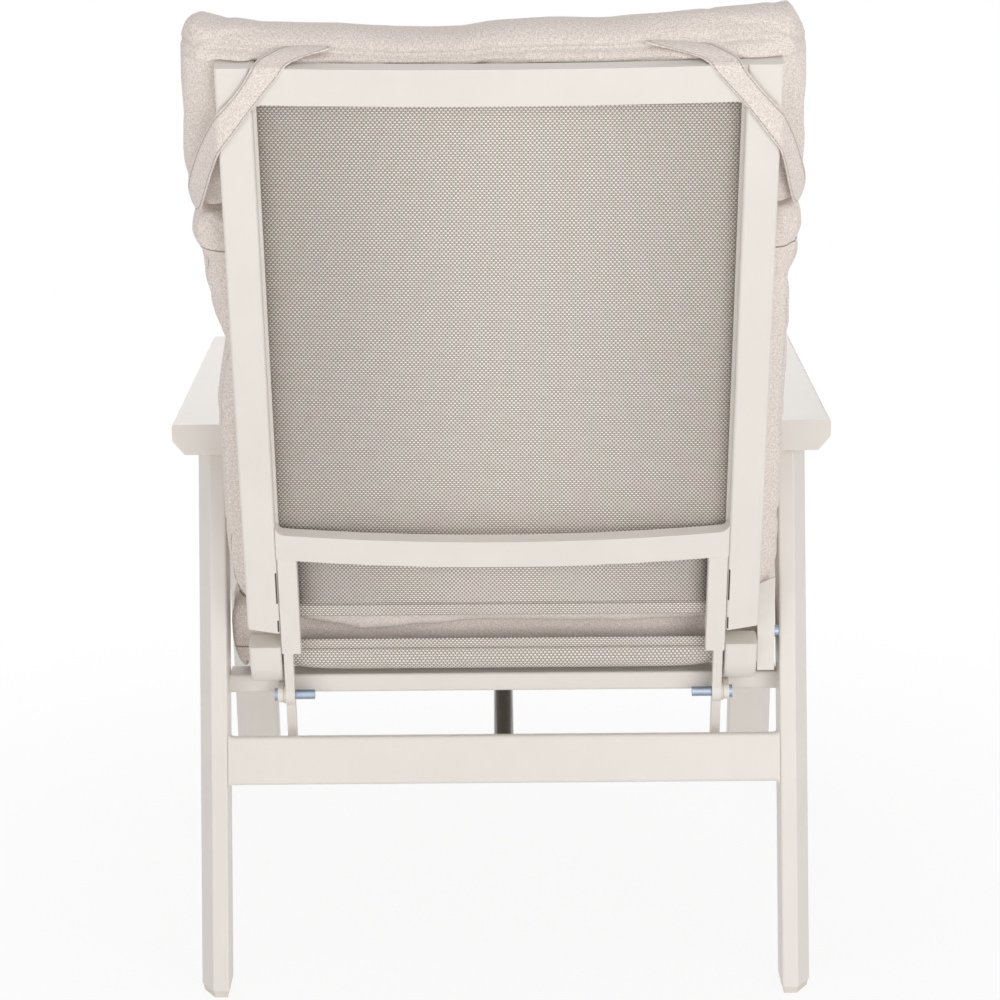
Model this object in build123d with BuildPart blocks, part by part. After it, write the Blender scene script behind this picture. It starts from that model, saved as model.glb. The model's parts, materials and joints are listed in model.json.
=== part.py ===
from math import cos, hypot, radians, sin, tan
import os

from build123d import *

os.makedirs("parts", exist_ok=True)

# Reclining garden armchair: welded aluminium frame, sling seat and back, gas spring, cushion.
# X runs across the chair (+X is the sitter's left), the front faces -Y, +Z is up.
# The origin is on the floor under the middle of the chair.

# Shared values
rear_foot_y = 337.0
frame_half_width = 295.3
overrun = 5.0
weld_gap = 0.4
soft_gap = 0.3
cushion_gap = 0.7

# Rear legs
leg_lean = 14.3
leg_width = 31.5
leg_depth = 48.0
leg_chamfer_width = 14.0
leg_chamfer_depth = 24.0
leg_edge = 3.0
glide_height = 8.0
glide_inset = 2.5
glide_flare = 12.0

# Armrests and front legs
arm_top = 602.0
arm_thick = 33.0
arm_width = 54.7
arm_side_height = 17.5
arm_side_inset = 13.0
arm_edge = 3.0
arm_rear_ahead = 123.4
arm_bend_ahead = 615.0
arm_bend_radius = 80.0
front_lean = 12.0
arm_seam_z = 500.0

# Rear stretcher
stretcher_z = 246.2
stretcher_height = 51.4
stretcher_depth = 25.0
stretcher_blend = 6.0
stretcher_edge = 4.0

# Rear seat tube and back pivot
seat_tube_bottom = 307.0
seat_tube_height = 20.0
seat_tube_depth = 36.0
seat_tube_ahead = 113.0
tube_edge = 3.0
pivot_reach = 16.5
pivot_z = 310.0
lug_thick = 6.0
lug_radius = 8.5
lug_root_height = 11.0
bolt_radius = 4.0
bolt_fit = 0.05
bolt_head_radius = 7.0
bolt_head_thick = 3.5
bush_flange_radius = 9.5
bush_wall = 1.5
nut_radius = 5.25
nut_length = 21.0
nut_socket_radius = 2.5
nut_socket_depth = 5.0

# Rails of the seat and the back share one extrusion with a groove for the sling's rope
back_angle = 17.65
recline_limit = 28.0
rail_side_gap = 25.2
rail_width = 34.2
rail_depth = 25.0
rail_rear = 7.5
rail_edge = 3.5
lip_width = 3.0
lip_depth = 9.0
sling_from_face = 5.0
sling_thick = 1.2
slot_width = 2.0
rope_radius = 3.2
groove_radius = 3.5
groove_from_lip = 7.5
rail_top_u = 729.8
rail_bottom_outer_u = 90.0
rail_bottom_inner_u = 83.6
cap_thick = 2.0

# Cross rails of the back
top_rail_height = 37.7
top_rail_bow = 7.5
low_rail_bottom_u = 177.1
low_rail_height = 30.5
low_rail_bow = 17.5
cross_rail_depth = 15.0
cross_rail_blend = 8.0
cross_rail_blend_radius = 11.0

# Brackets under the back and the two lever straps
bracket_width = 20.5
bracket_bottom_u = 57.9
bracket_edge = 1.5
upper_weld_length = 21.0
lower_weld_top_u = 119.0
lower_weld_length = 24.0
strap_thick = 9.6
strap_depth = 15.0
strap_inset = 2.0
strap_eye_radius = 11.0
lever_bar_drop = 102.0
lever_bar_radius = 8.0

# Seat rails
seat_slope = 4.5
seat_rail_top_u = 66.1
saddle = 2.0
rear_bend_radius = 21.5
front_bend_radius = 32.5
front_corner_ahead = 748.0
front_drop_angle = 60.0
front_drop_length = 46.0
front_tube_ahead = 706.0
front_tube_height = 32.0
front_tube_depth = 28.0

# Gas spring, its cross tube and its pins
spring_tube_ahead = 450.0
spring_tube_height = 20.0
spring_tube_depth = 30.0
spring_rear_drop = 80.0
spring_front_drop = 16.0
spring_radius = 11.0
spring_neck_radius = 6.0
spring_neck = 18.5
spring_length = 196.0
spring_shoulder = 2.5
rod_radius = 5.0
rod_fit = 0.1
rod_inside = 60.0
rod_bore_depth = 110.0
gland_radius = 8.0
gland_length = 9.0
eye_radius = 9.5
eye_width = 14.0
eye_bore = 6.0
pin_radius = 4.0
pin_head_radius = 6.5
pin_head_thick = 2.5
clevis_thick = 3.0
clevis_gap = 0.4
clevis_edge = 8.0
head_length = 30.0
head_radius = 10.0
head_fit = 0.05
release_pin_radius = 3.0
release_pin_length = 6.0

# Release lever on the sitter's right
lever_z = 375.0
lever_ahead = 104.0
lever_plate_ahead = 85.0
lever_plate_thick = 4.0
lever_plate_bottom = 337.0
lever_plate_top = 440.0
lever_plate_slant = 8.0
lever_side_gap = 23.8
lever_width = 18.0
lever_hub_radius = 8.0
lever_web = 10.0
lever_pin_radius = 4.0
lever_pin_fit = 0.05
lever_collar_radius = 6.5

# Slings
back_sling_bottom_u = 93.0
back_sling_hem = 16.0
back_sling_top_gap = 7.8
hem_extra = 0.5
hem_side_gap = 0.6
seat_sling_top_u = 63.0
seat_sling_hem = 12.0
seat_sling_front_gap = 8.0

# Cushions
seat_cushion_side_gap = 11.3
seat_cushion_thick = 68.0
seat_cushion_length = 612.0
seat_cushion_rear_ahead = 124.0
seat_cushion_crown = 9.0
back_cushion_overhang = 16.9
back_cushion_thick = 90.0
back_cushion_bottom_u = 106.0
back_cushion_notch_fall = 168.3
back_cushion_crown = 12.0
head_cushion_overhang = 31.9
head_cushion_thick = 92.0
head_cushion_rise = 27.2
head_cushion_shift = 5.0
head_cushion_crown = 14.0
cushion_side_bulge = 7.0
cushion_corner = 24.0

# Straps over the top corners
corner_strap_width = 24.0
corner_strap_thick = 1.6
corner_strap_gap = 0.4
corner_strap_sewn_inset = 118.1
corner_strap_sewn_rise = 14.2
corner_strap_sewn_w = 20.5
corner_strap_front_inset = 64.1
corner_strap_rear_inset = 49.1
corner_strap_side_fall = 67.8
corner_strap_end_fall = 107.8
corner_strap_end_w = 44.0
corner_strap_end_gap = 7.0

# Directions in the side view
lean_sin, lean_cos = sin(radians(leg_lean)), cos(radians(leg_lean))
front_sin, front_cos = sin(radians(front_lean)), cos(radians(front_lean))
back_sin, back_cos = sin(radians(back_angle)), cos(radians(back_angle))
seat_sin, seat_cos = sin(radians(seat_slope)), cos(radians(seat_slope))
lean_up = (0, -lean_sin, lean_cos)
front_up = (0, front_sin, front_cos)

# Rear legs: a chamfered section that leans forward as it rises
leg_bottom_rear_y = rear_foot_y - glide_height * tan(radians(leg_lean))
leg_bottom_front_y = leg_bottom_rear_y - leg_depth
leg_outer_x = frame_half_width + leg_width
leg_top_z = arm_top - arm_thick
leg_outline = [
    (frame_half_width, leg_bottom_front_y),
    (leg_outer_x, leg_bottom_front_y),
    (leg_outer_x, leg_bottom_rear_y - leg_chamfer_depth),
    (leg_outer_x - leg_chamfer_width, leg_bottom_rear_y),
    (frame_half_width, leg_bottom_rear_y),
]

with BuildPart() as left_rear_leg:
    with BuildSketch(Plane.XY.offset(glide_height)) as leg_section:
        with BuildLine():
            Polyline(*leg_outline, close=True)
        make_face()
        fillet(leg_section.vertices(), leg_edge)
    extrude(amount=(leg_top_z - glide_height) / lean_cos, dir=lean_up)
left_rear_leg.part.label = "left_rear_leg"
export_step(left_rear_leg.part, "parts/left_rear_leg.step")

with BuildPart() as right_rear_leg:
    mirror(left_rear_leg.part, about=Plane.YZ)
right_rear_leg.part.label = "right_rear_leg"
export_step(right_rear_leg.part, "parts/right_rear_leg.step")

with BuildPart() as left_rear_glide:
    with BuildSketch() as glide_section:
        with BuildLine():
            Polyline(*leg_outline, close=True)
        make_face()
        fillet(glide_section.vertices(), leg_edge)
        offset(amount=-glide_inset, mode=Mode.REPLACE)
    extrude(amount=glide_height, taper=-glide_flare)
left_rear_glide.part.label = "left_rear_glide"
export_step(left_rear_glide.part, "parts/left_rear_glide.step")

with BuildPart() as right_rear_glide:
    mirror(left_rear_glide.part, about=Plane.YZ)
right_rear_glide.part.label = "right_rear_glide"
export_step(right_rear_glide.part, "parts/right_rear_glide.step")

# Armrests: a hull-shaped bar, flat on top, that bends down over the front leg
arm_bend_y = rear_foot_y - arm_bend_ahead
arm_outer_x = frame_half_width + arm_width
arm_drop_y = arm_bend_y - arm_bend_radius * front_cos
arm_drop_z = arm_top - arm_bend_radius + arm_bend_radius * front_sin
arm_drop = (arm_drop_z - arm_seam_z) / front_cos + arm_thick

with BuildPart() as left_armrest:
    with BuildLine(Plane.YZ) as arm_path:
        top_run = Line((rear_foot_y - arm_rear_ahead, arm_top), (arm_bend_y, arm_top))
        front_bend = JernArc(top_run @ 1, top_run % 1, arm_bend_radius, 90 - front_lean)
        Line(front_bend @ 1, front_bend @ 1 + (front_bend % 1) * arm_drop)
    with BuildSketch(Plane(origin=top_run @ 0, x_dir=(1, 0, 0), z_dir=top_run % 0)) as arm_section:
        with BuildLine():
            Polyline(
                (frame_half_width, 0),
                (arm_outer_x, 0),
                (arm_outer_x, -arm_side_height),
                (arm_outer_x - arm_side_inset, -arm_thick),
                (frame_half_width, -arm_thick),
                close=True,
            )
        make_face()
        fillet(arm_section.vertices(), arm_edge)
    sweep(path=arm_path.wire())
    split(bisect_by=Plane.XY.offset(arm_seam_z), keep=Keep.TOP)
left_armrest.part.label = "left_armrest"
export_step(left_armrest.part, "parts/left_armrest.step")

with BuildPart() as right_armrest:
    mirror(left_armrest.part, about=Plane.YZ)
right_armrest.part.label = "right_armrest"
export_step(right_armrest.part, "parts/right_armrest.step")

# Front legs carry on the armrest's section down to the glides
front_leg_front_y = arm_drop_y - (arm_drop_z - glide_height) * tan(radians(front_lean))
front_leg_rear_y = front_leg_front_y + arm_thick / front_cos
front_leg_side_y = front_leg_front_y + arm_side_height / front_cos
front_leg_outline = [
    (frame_half_width, front_leg_front_y),
    (arm_outer_x, front_leg_front_y),
    (arm_outer_x, front_leg_side_y),
    (arm_outer_x - arm_side_inset, front_leg_rear_y),
    (frame_half_width, front_leg_rear_y),
]

with BuildPart() as left_front_leg:
    with BuildSketch(Plane.XY.offset(glide_height)) as front_leg_section:
        with BuildLine():
            Polyline(*front_leg_outline, close=True)
        make_face()
        fillet(front_leg_section.vertices(), arm_edge)
    extrude(amount=(arm_seam_z - glide_height) / front_cos, dir=front_up)
left_front_leg.part.label = "left_front_leg"
export_step(left_front_leg.part, "parts/left_front_leg.step")

with BuildPart() as right_front_leg:
    mirror(left_front_leg.part, about=Plane.YZ)
right_front_leg.part.label = "right_front_leg"
export_step(right_front_leg.part, "parts/right_front_leg.step")

with BuildPart() as left_front_glide:
    with BuildSketch() as front_glide_section:
        with BuildLine():
            Polyline(*front_leg_outline, close=True)
        make_face()
        fillet(front_glide_section.vertices(), arm_edge)
        offset(amount=-glide_inset, mode=Mode.REPLACE)
    extrude(amount=glide_height, taper=-glide_flare)
left_front_glide.part.label = "left_front_glide"
export_step(left_front_glide.part, "parts/left_front_glide.step")

with BuildPart() as right_front_glide:
    mirror(left_front_glide.part, about=Plane.YZ)
right_front_glide.part.label = "right_front_glide"
export_step(right_front_glide.part, "parts/right_front_glide.step")

# Rear stretcher: flush with the legs' rear faces, its ends flared into the welds
stretcher_y = rear_foot_y - stretcher_z * tan(radians(leg_lean))
stretcher_plane = Plane(
    origin=(0, stretcher_y, stretcher_z), x_dir=(1, 0, 0), z_dir=(0, lean_cos, lean_sin)
)

with BuildPart() as rear_stretcher:
    with BuildSketch(stretcher_plane):
        with BuildLine():
            Line(
                (0, stretcher_height / 2),
                (frame_half_width - stretcher_blend, stretcher_height / 2),
            )
            RadiusArc(
                (frame_half_width - stretcher_blend, stretcher_height / 2),
                (frame_half_width, stretcher_height / 2 + stretcher_blend),
                -stretcher_blend,
            )
            Line(
                (frame_half_width, stretcher_height / 2 + stretcher_blend),
                (frame_half_width, -stretcher_height / 2 - stretcher_blend),
            )
            RadiusArc(
                (frame_half_width, -stretcher_height / 2 - stretcher_blend),
                (frame_half_width - stretcher_blend, -stretcher_height / 2),
                -stretcher_blend,
            )
            Line(
                (frame_half_width - stretcher_blend, -stretcher_height / 2),
                (0, -stretcher_height / 2),
            )
            mirror(about=Plane.YZ)
        make_face()
    extrude(amount=-stretcher_depth)
    fillet(rear_stretcher.edges().filter_by(Axis.X), stretcher_edge)
rear_stretcher.part.label = "rear_stretcher"
export_step(rear_stretcher.part, "parts/rear_stretcher.step")

# Rear seat tube from leg to leg
seat_tube_rear_y = rear_foot_y - seat_tube_ahead
seat_tube_y = seat_tube_rear_y - seat_tube_depth / 2
seat_tube_z = seat_tube_bottom + seat_tube_height / 2
seat_tube_top = seat_tube_bottom + seat_tube_height

with BuildPart() as rear_seat_tube:
    with BuildSketch(Plane.YZ.offset(-frame_half_width)):
        with Locations((seat_tube_y, seat_tube_z)):
            RectangleRounded(seat_tube_depth, seat_tube_height, tube_edge)
    extrude(amount=2 * frame_half_width)
rear_seat_tube.part.label = "rear_seat_tube"
export_step(rear_seat_tube.part, "parts/rear_seat_tube.step")

# Places along the back: u runs up from the pivot, w runs rearward, square to the back
pivot_y = seat_tube_rear_y + pivot_reach
rail_outer_x = frame_half_width - rail_side_gap
rail_x = rail_outer_x - rail_width / 2
rail_inner_x = rail_outer_x - rail_width
lip_x = rail_inner_x - lip_width
rail_middle_w = rail_rear - rail_depth / 2
rail_front_w = rail_rear - rail_depth
sling_w = rail_front_w + sling_from_face
back_face = Plane(origin=(0, pivot_y, pivot_z), x_dir=(1, 0, 0), z_dir=(0, -back_cos, back_sin))
back_plan = Plane(origin=(0, pivot_y, pivot_z), x_dir=(1, 0, 0), z_dir=(0, back_sin, back_cos))

# The seat rail's middle line: down the back's direction, then forward up the seat slope
saddle_z = seat_tube_top - saddle
seat_line_z = saddle_z + rail_depth / 2 / seat_cos
back_line_y = pivot_y + rail_middle_w * back_cos
back_line_z = pivot_z - rail_middle_w * back_sin
corner_run = (
    (seat_line_z - back_line_z) * seat_cos + (seat_tube_y - back_line_y) * seat_sin
) / (back_cos * seat_cos + back_sin * seat_sin)
rear_corner = (back_line_y + corner_run * back_sin, back_line_z + corner_run * back_cos)
rail_end_u = seat_rail_top_u - cap_thick
rail_start = (back_line_y + rail_end_u * back_sin, back_line_z + rail_end_u * back_cos)
front_corner_y = rear_foot_y - front_corner_ahead
front_corner = (
    front_corner_y,
    seat_line_z + (seat_tube_y - front_corner_y) * tan(radians(seat_slope)),
)
drop_cos = cos(radians(front_drop_angle - seat_slope))
drop_sin = sin(radians(front_drop_angle - seat_slope))
rail_end = (
    front_corner[0] - front_drop_length * drop_cos,
    front_corner[1] - front_drop_length * drop_sin,
)

# Front seat tube and the tube that holds the gas spring, both under the seat rails
front_tube_y = rear_foot_y - front_tube_ahead
front_tube_top = saddle_z + (seat_tube_y - front_tube_y) * tan(radians(seat_slope)) + saddle
spring_tube_y = rear_foot_y - spring_tube_ahead
spring_tube_top = saddle_z + (seat_tube_y - spring_tube_y) * tan(radians(seat_slope)) + saddle

with BuildPart() as front_seat_tube:
    with BuildSketch(Plane.YZ.offset(-frame_half_width)):
        with Locations((front_tube_y, front_tube_top - front_tube_height / 2)):
            RectangleRounded(front_tube_depth, front_tube_height, tube_edge)
    extrude(amount=2 * frame_half_width)
front_seat_tube.part.label = "front_seat_tube"
export_step(front_seat_tube.part, "parts/front_seat_tube.step")

with BuildPart() as gas_spring_tube:
    with BuildSketch(Plane.YZ.offset(-rail_outer_x)):
        with Locations((spring_tube_y, spring_tube_top - spring_tube_height / 2)):
            RectangleRounded(spring_tube_depth, spring_tube_height, tube_edge)
    extrude(amount=2 * rail_outer_x)
gas_spring_tube.part.label = "gas_spring_tube"
export_step(gas_spring_tube.part, "parts/gas_spring_tube.step")

# Seat rails: the grooved extrusion, hooked up at the back and turned down at the front
groove_x = lip_x + groove_from_lip
groove_from_middle = rail_x - groove_x
sling_from_middle = rail_depth / 2 - sling_from_face

with BuildPart() as left_seat_rail:
    with BuildLine(Plane.YZ.offset(rail_x)) as seat_rail_path:
        FilletPolyline(
            rail_start,
            rear_corner,
            front_corner,
            rail_end,
            radius=[rear_bend_radius, front_bend_radius],
        )
    seat_rail_wire = seat_rail_path.wire()
    with BuildSketch(
        Plane(origin=seat_rail_wire @ 0, x_dir=(1, 0, 0), z_dir=seat_rail_wire % 0)
    ):
        RectangleRounded(rail_width, rail_depth, rail_edge)
        with Locations((-rail_width / 2, rail_depth / 2 - lip_depth / 2)):
            Rectangle(2 * lip_width, lip_depth)
        with Locations((-groove_from_middle, sling_from_middle)):
            Circle(groove_radius, mode=Mode.SUBTRACT)
        with Locations((-groove_from_middle, sling_from_middle - slot_width / 2)):
            Rectangle(
                groove_from_lip + overrun,
                slot_width,
                align=(Align.MAX, Align.MIN),
                mode=Mode.SUBTRACT,
            )
    sweep(path=seat_rail_wire)
    add(rear_seat_tube.part, mode=Mode.SUBTRACT)
    add(front_seat_tube.part, mode=Mode.SUBTRACT)
    add(gas_spring_tube.part, mode=Mode.SUBTRACT)
left_seat_rail.part.label = "left_seat_rail"
export_step(left_seat_rail.part, "parts/left_seat_rail.step")

with BuildPart() as right_seat_rail:
    mirror(left_seat_rail.part, about=Plane.YZ)
right_seat_rail.part.label = "right_seat_rail"
export_step(right_seat_rail.part, "parts/right_seat_rail.step")

with BuildPart() as seat_rail_caps:
    with BuildSketch(
        Plane(origin=seat_rail_wire @ 0, x_dir=(1, 0, 0), z_dir=seat_rail_wire % 0)
    ):
        RectangleRounded(rail_width, rail_depth, rail_edge)
    extrude(amount=-cap_thick)
    with BuildSketch(
        Plane(origin=seat_rail_wire @ 1, x_dir=(1, 0, 0), z_dir=seat_rail_wire % 1)
    ):
        RectangleRounded(rail_width, rail_depth, rail_edge)
    extrude(amount=cap_thick)
    mirror(about=Plane.YZ)
seat_rail_caps.part.label = "seat_rail_caps"
export_step(seat_rail_caps.part, "parts/seat_rail_caps.step")

# Back rails: the same extrusion, cut at a slant at the lower end
with BuildPart() as left_back_rail:
    with BuildSketch(back_plan.offset(rail_bottom_inner_u - overrun)):
        with Locations((rail_x, rail_middle_w)):
            RectangleRounded(rail_width, rail_depth, rail_edge)
        with Locations((rail_inner_x, rail_front_w + lip_depth / 2)):
            Rectangle(2 * lip_width, lip_depth)
        with Locations((groove_x, sling_w)):
            Circle(groove_radius, mode=Mode.SUBTRACT)
        with Locations((groove_x, sling_w - slot_width / 2)):
            Rectangle(
                groove_from_lip + overrun,
                slot_width,
                align=(Align.MAX, Align.MIN),
                mode=Mode.SUBTRACT,
            )
    extrude(amount=rail_top_u - rail_bottom_inner_u + overrun)
    with BuildSketch(back_face.offset(-rail_rear - overrun)):
        with BuildLine():
            Polyline(
                (rail_outer_x + overrun, rail_bottom_inner_u - 2 * overrun),
                (rail_outer_x + overrun, rail_bottom_outer_u),
                (rail_outer_x, rail_bottom_outer_u),
                (rail_inner_x, rail_bottom_inner_u),
                (lip_x - overrun, rail_bottom_inner_u),
                (lip_x - overrun, rail_bottom_inner_u - 2 * overrun),
                close=True,
            )
        make_face()
    extrude(amount=rail_depth + 2 * overrun, mode=Mode.SUBTRACT)
left_back_rail.part.label = "left_back_rail"
export_step(left_back_rail.part, "parts/left_back_rail.step")

with BuildPart() as right_back_rail:
    mirror(left_back_rail.part, about=Plane.YZ)
right_back_rail.part.label = "right_back_rail"
export_step(right_back_rail.part, "parts/right_back_rail.step")

# Cross rails of the back: bowed in plan, and flared at the ends in the face view
top_rail_u = rail_top_u - top_rail_height
cross_rear_w = rail_rear
cross_front_w = rail_rear - cross_rail_depth

with BuildPart() as top_rail:
    with BuildSketch(back_plan.offset(top_rail_u - cross_rail_blend - overrun)):
        with BuildLine():
            ThreePointArc(
                (-rail_inner_x, cross_rear_w),
                (0, cross_rear_w + top_rail_bow),
                (rail_inner_x, cross_rear_w),
            )
            Line((rail_inner_x, cross_rear_w), (rail_inner_x, cross_front_w))
            ThreePointArc(
                (rail_inner_x, cross_front_w),
                (0, cross_front_w + top_rail_bow),
                (-rail_inner_x, cross_front_w),
            )
            Line((-rail_inner_x, cross_front_w), (-rail_inner_x, cross_rear_w))
        make_face()
    extrude(amount=top_rail_height + cross_rail_blend + 2 * overrun)
    with BuildSketch(back_face.offset(-rail_rear - top_rail_bow - overrun)):
        with BuildLine():
            Line((0, rail_top_u), (rail_inner_x, rail_top_u))
            Line((rail_inner_x, rail_top_u), (rail_inner_x, top_rail_u - cross_rail_blend))
            RadiusArc(
                (rail_inner_x, top_rail_u - cross_rail_blend),
                (rail_inner_x - cross_rail_blend, top_rail_u),
                -cross_rail_blend_radius,
            )
            Line((rail_inner_x - cross_rail_blend, top_rail_u), (0, top_rail_u))
            mirror(about=Plane.YZ)
        make_face()
    extrude(amount=rail_depth + top_rail_bow + 2 * overrun, mode=Mode.INTERSECT)
top_rail.part.label = "top_rail"
export_step(top_rail.part, "parts/top_rail.step")

low_rail_top_u = low_rail_bottom_u + low_rail_height

with BuildPart() as lower_back_rail:
    with BuildSketch(back_plan.offset(low_rail_bottom_u - overrun)):
        with BuildLine():
            ThreePointArc(
                (-rail_inner_x, cross_rear_w),
                (0, cross_rear_w + low_rail_bow),
                (rail_inner_x, cross_rear_w),
            )
            Line((rail_inner_x, cross_rear_w), (rail_inner_x, cross_front_w))
            ThreePointArc(
                (rail_inner_x, cross_front_w),
                (0, cross_front_w + low_rail_bow),
                (-rail_inner_x, cross_front_w),
            )
            Line((-rail_inner_x, cross_front_w), (-rail_inner_x, cross_rear_w))
        make_face()
    extrude(amount=low_rail_height + cross_rail_blend + 2 * overrun)
    with BuildSketch(back_face.offset(-rail_rear - low_rail_bow - overrun)):
        with BuildLine():
            Line((0, low_rail_bottom_u), (rail_inner_x, low_rail_bottom_u))
            Line(
                (rail_inner_x, low_rail_bottom_u), (rail_inner_x, low_rail_top_u + cross_rail_blend)
            )
            RadiusArc(
                (rail_inner_x, low_rail_top_u + cross_rail_blend),
                (rail_inner_x - cross_rail_blend, low_rail_top_u),
                cross_rail_blend_radius,
            )
            Line((rail_inner_x - cross_rail_blend, low_rail_top_u), (0, low_rail_top_u))
            mirror(about=Plane.YZ)
        make_face()
    extrude(amount=rail_depth + low_rail_bow + 2 * overrun, mode=Mode.INTERSECT)
lower_back_rail.part.label = "lower_back_rail"
export_step(lower_back_rail.part, "parts/lower_back_rail.step")

# Bracket tubes hang from the lower rail and are welded to the back rails at two places
bracket_outer_x = rail_inner_x - weld_gap
bracket_inner_x = bracket_outer_x - bracket_width

with BuildPart() as left_bracket_tube:
    with BuildSketch(back_plan.offset(bracket_bottom_u)):
        with Locations((bracket_outer_x - bracket_width / 2, 0)):
            RectangleRounded(bracket_width, cross_rail_depth, bracket_edge)
    extrude(amount=low_rail_bottom_u - bracket_bottom_u)
    with BuildSketch(back_plan.offset(low_rail_bottom_u - upper_weld_length)):
        with Locations((bracket_outer_x, 0)):
            Rectangle(2 * weld_gap, cross_rail_depth / 2)
    extrude(amount=upper_weld_length)
    with BuildSketch(back_plan.offset(lower_weld_top_u - lower_weld_length)):
        with Locations((bracket_outer_x, 0)):
            Rectangle(2 * weld_gap, cross_rail_depth / 2)
    extrude(amount=lower_weld_length)
left_bracket_tube.part.label = "left_bracket_tube"
export_step(left_bracket_tube.part, "parts/left_bracket_tube.step")

with BuildPart() as right_bracket_tube:
    mirror(left_bracket_tube.part, about=Plane.YZ)
right_bracket_tube.part.label = "right_bracket_tube"
export_step(right_bracket_tube.part, "parts/right_bracket_tube.step")

# Lever straps: flat bars with an eye at the pivot and one round the cross bar below
strap_outer_x = bracket_outer_x - strap_inset
strap_inner_x = strap_outer_x - strap_thick
bush_radius = bolt_radius + bolt_fit + bush_wall
strap_face = Plane(
    origin=(strap_inner_x, pivot_y, pivot_z), x_dir=(0, back_cos, -back_sin), z_dir=(1, 0, 0)
)

with BuildPart() as left_lever_strap:
    with BuildSketch(strap_face):
        with Locations((0, -lever_bar_drop)):
            Rectangle(
                strap_depth, bracket_bottom_u + lever_bar_drop, align=(Align.CENTER, Align.MIN)
            )
        Circle(strap_eye_radius)
        with Locations((0, -lever_bar_drop)):
            Circle(strap_eye_radius)
        Circle(bush_radius, mode=Mode.SUBTRACT)
    extrude(amount=strap_thick)
left_lever_strap.part.label = "left_lever_strap"
export_step(left_lever_strap.part, "parts/left_lever_strap.step")

with BuildPart() as right_lever_strap:
    mirror(left_lever_strap.part, about=Plane.YZ)
right_lever_strap.part.label = "right_lever_strap"
export_step(right_lever_strap.part, "parts/right_lever_strap.step")

lug_inner_x = rail_inner_x + weld_gap
bush_flange = lug_inner_x - strap_outer_x - soft_gap

with BuildPart() as pivot_bushes:
    with BuildSketch(strap_face):
        Circle(bush_radius)
        Circle(bolt_radius + bolt_fit, mode=Mode.SUBTRACT)
    extrude(amount=strap_thick)
    with BuildSketch(strap_face.offset(strap_thick)):
        Circle(bush_flange_radius)
        Circle(bolt_radius + bolt_fit, mode=Mode.SUBTRACT)
    extrude(amount=bush_flange)
    mirror(about=Plane.YZ)
pivot_bushes.part.label = "pivot_bushes"
export_step(pivot_bushes.part, "parts/pivot_bushes.step")

# Pivot lugs stand behind the rear seat tube and carry the bolts
with BuildPart() as left_pivot_lug:
    with BuildSketch(Plane.YZ.offset(lug_inner_x)) as lug_profile:
        with Locations((pivot_y, pivot_z)):
            Circle(lug_radius)
        with Locations((seat_tube_rear_y, seat_tube_bottom + tube_edge)):
            Rectangle(pivot_reach / 2, lug_root_height, align=(Align.MIN, Align.MIN))
        make_hull()
        with Locations((pivot_y, pivot_z)):
            Circle(bolt_radius, mode=Mode.SUBTRACT)
    extrude(amount=lug_thick)
left_pivot_lug.part.label = "left_pivot_lug"
export_step(left_pivot_lug.part, "parts/left_pivot_lug.step")

with BuildPart() as right_pivot_lug:
    mirror(left_pivot_lug.part, about=Plane.YZ)
right_pivot_lug.part.label = "right_pivot_lug"
export_step(right_pivot_lug.part, "parts/right_pivot_lug.step")

lug_outer_x = lug_inner_x + lug_thick
nut_outer_x = strap_inner_x - soft_gap
nut_inner_x = nut_outer_x - nut_length
bolt_end_x = nut_inner_x + nut_length / 2

with BuildPart() as pivot_bolts:
    with BuildSketch(Plane.YZ.offset(bolt_end_x)):
        with Locations((pivot_y, pivot_z)):
            Circle(bolt_radius)
    extrude(amount=lug_outer_x - bolt_end_x)
    with BuildSketch(Plane.YZ.offset(lug_outer_x)):
        with Locations((pivot_y, pivot_z)):
            Circle(bolt_head_radius)
    extrude(amount=bolt_head_thick)
    mirror(about=Plane.YZ)
pivot_bolts.part.label = "pivot_bolts"
export_step(pivot_bolts.part, "parts/pivot_bolts.step")

with BuildPart() as pivot_nuts:
    with BuildSketch(Plane.YZ.offset(nut_inner_x)):
        with Locations((pivot_y, pivot_z)):
            Circle(nut_radius)
    extrude(amount=nut_length)
    with BuildSketch(Plane.YZ.offset(bolt_end_x)):
        with Locations((pivot_y, pivot_z)):
            Circle(bolt_radius)
    extrude(amount=nut_length, mode=Mode.SUBTRACT)
    with BuildSketch(Plane.YZ.offset(nut_inner_x)):
        with Locations((pivot_y, pivot_z)):
            RegularPolygon(nut_socket_radius, 6)
    extrude(amount=nut_socket_depth, mode=Mode.SUBTRACT)
    mirror(about=Plane.YZ)
pivot_nuts.part.label = "pivot_nuts"
export_step(pivot_nuts.part, "parts/pivot_nuts.step")

# Cross bar between the straps' lower ends, with the spring's rear clevis round it
middle_face = Plane(
    origin=(0, pivot_y, pivot_z), x_dir=(0, back_cos, -back_sin), z_dir=(1, 0, 0)
)

with BuildPart() as lever_cross_bar:
    with BuildSketch(middle_face):
        with Locations((0, -lever_bar_drop)):
            Circle(lever_bar_radius)
    extrude(amount=strap_inner_x, both=True)
lever_cross_bar.part.label = "lever_cross_bar"
export_step(lever_cross_bar.part, "parts/lever_cross_bar.step")

clevis_inner = eye_width / 2 + clevis_gap
clevis_outer = clevis_inner + clevis_thick

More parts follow.
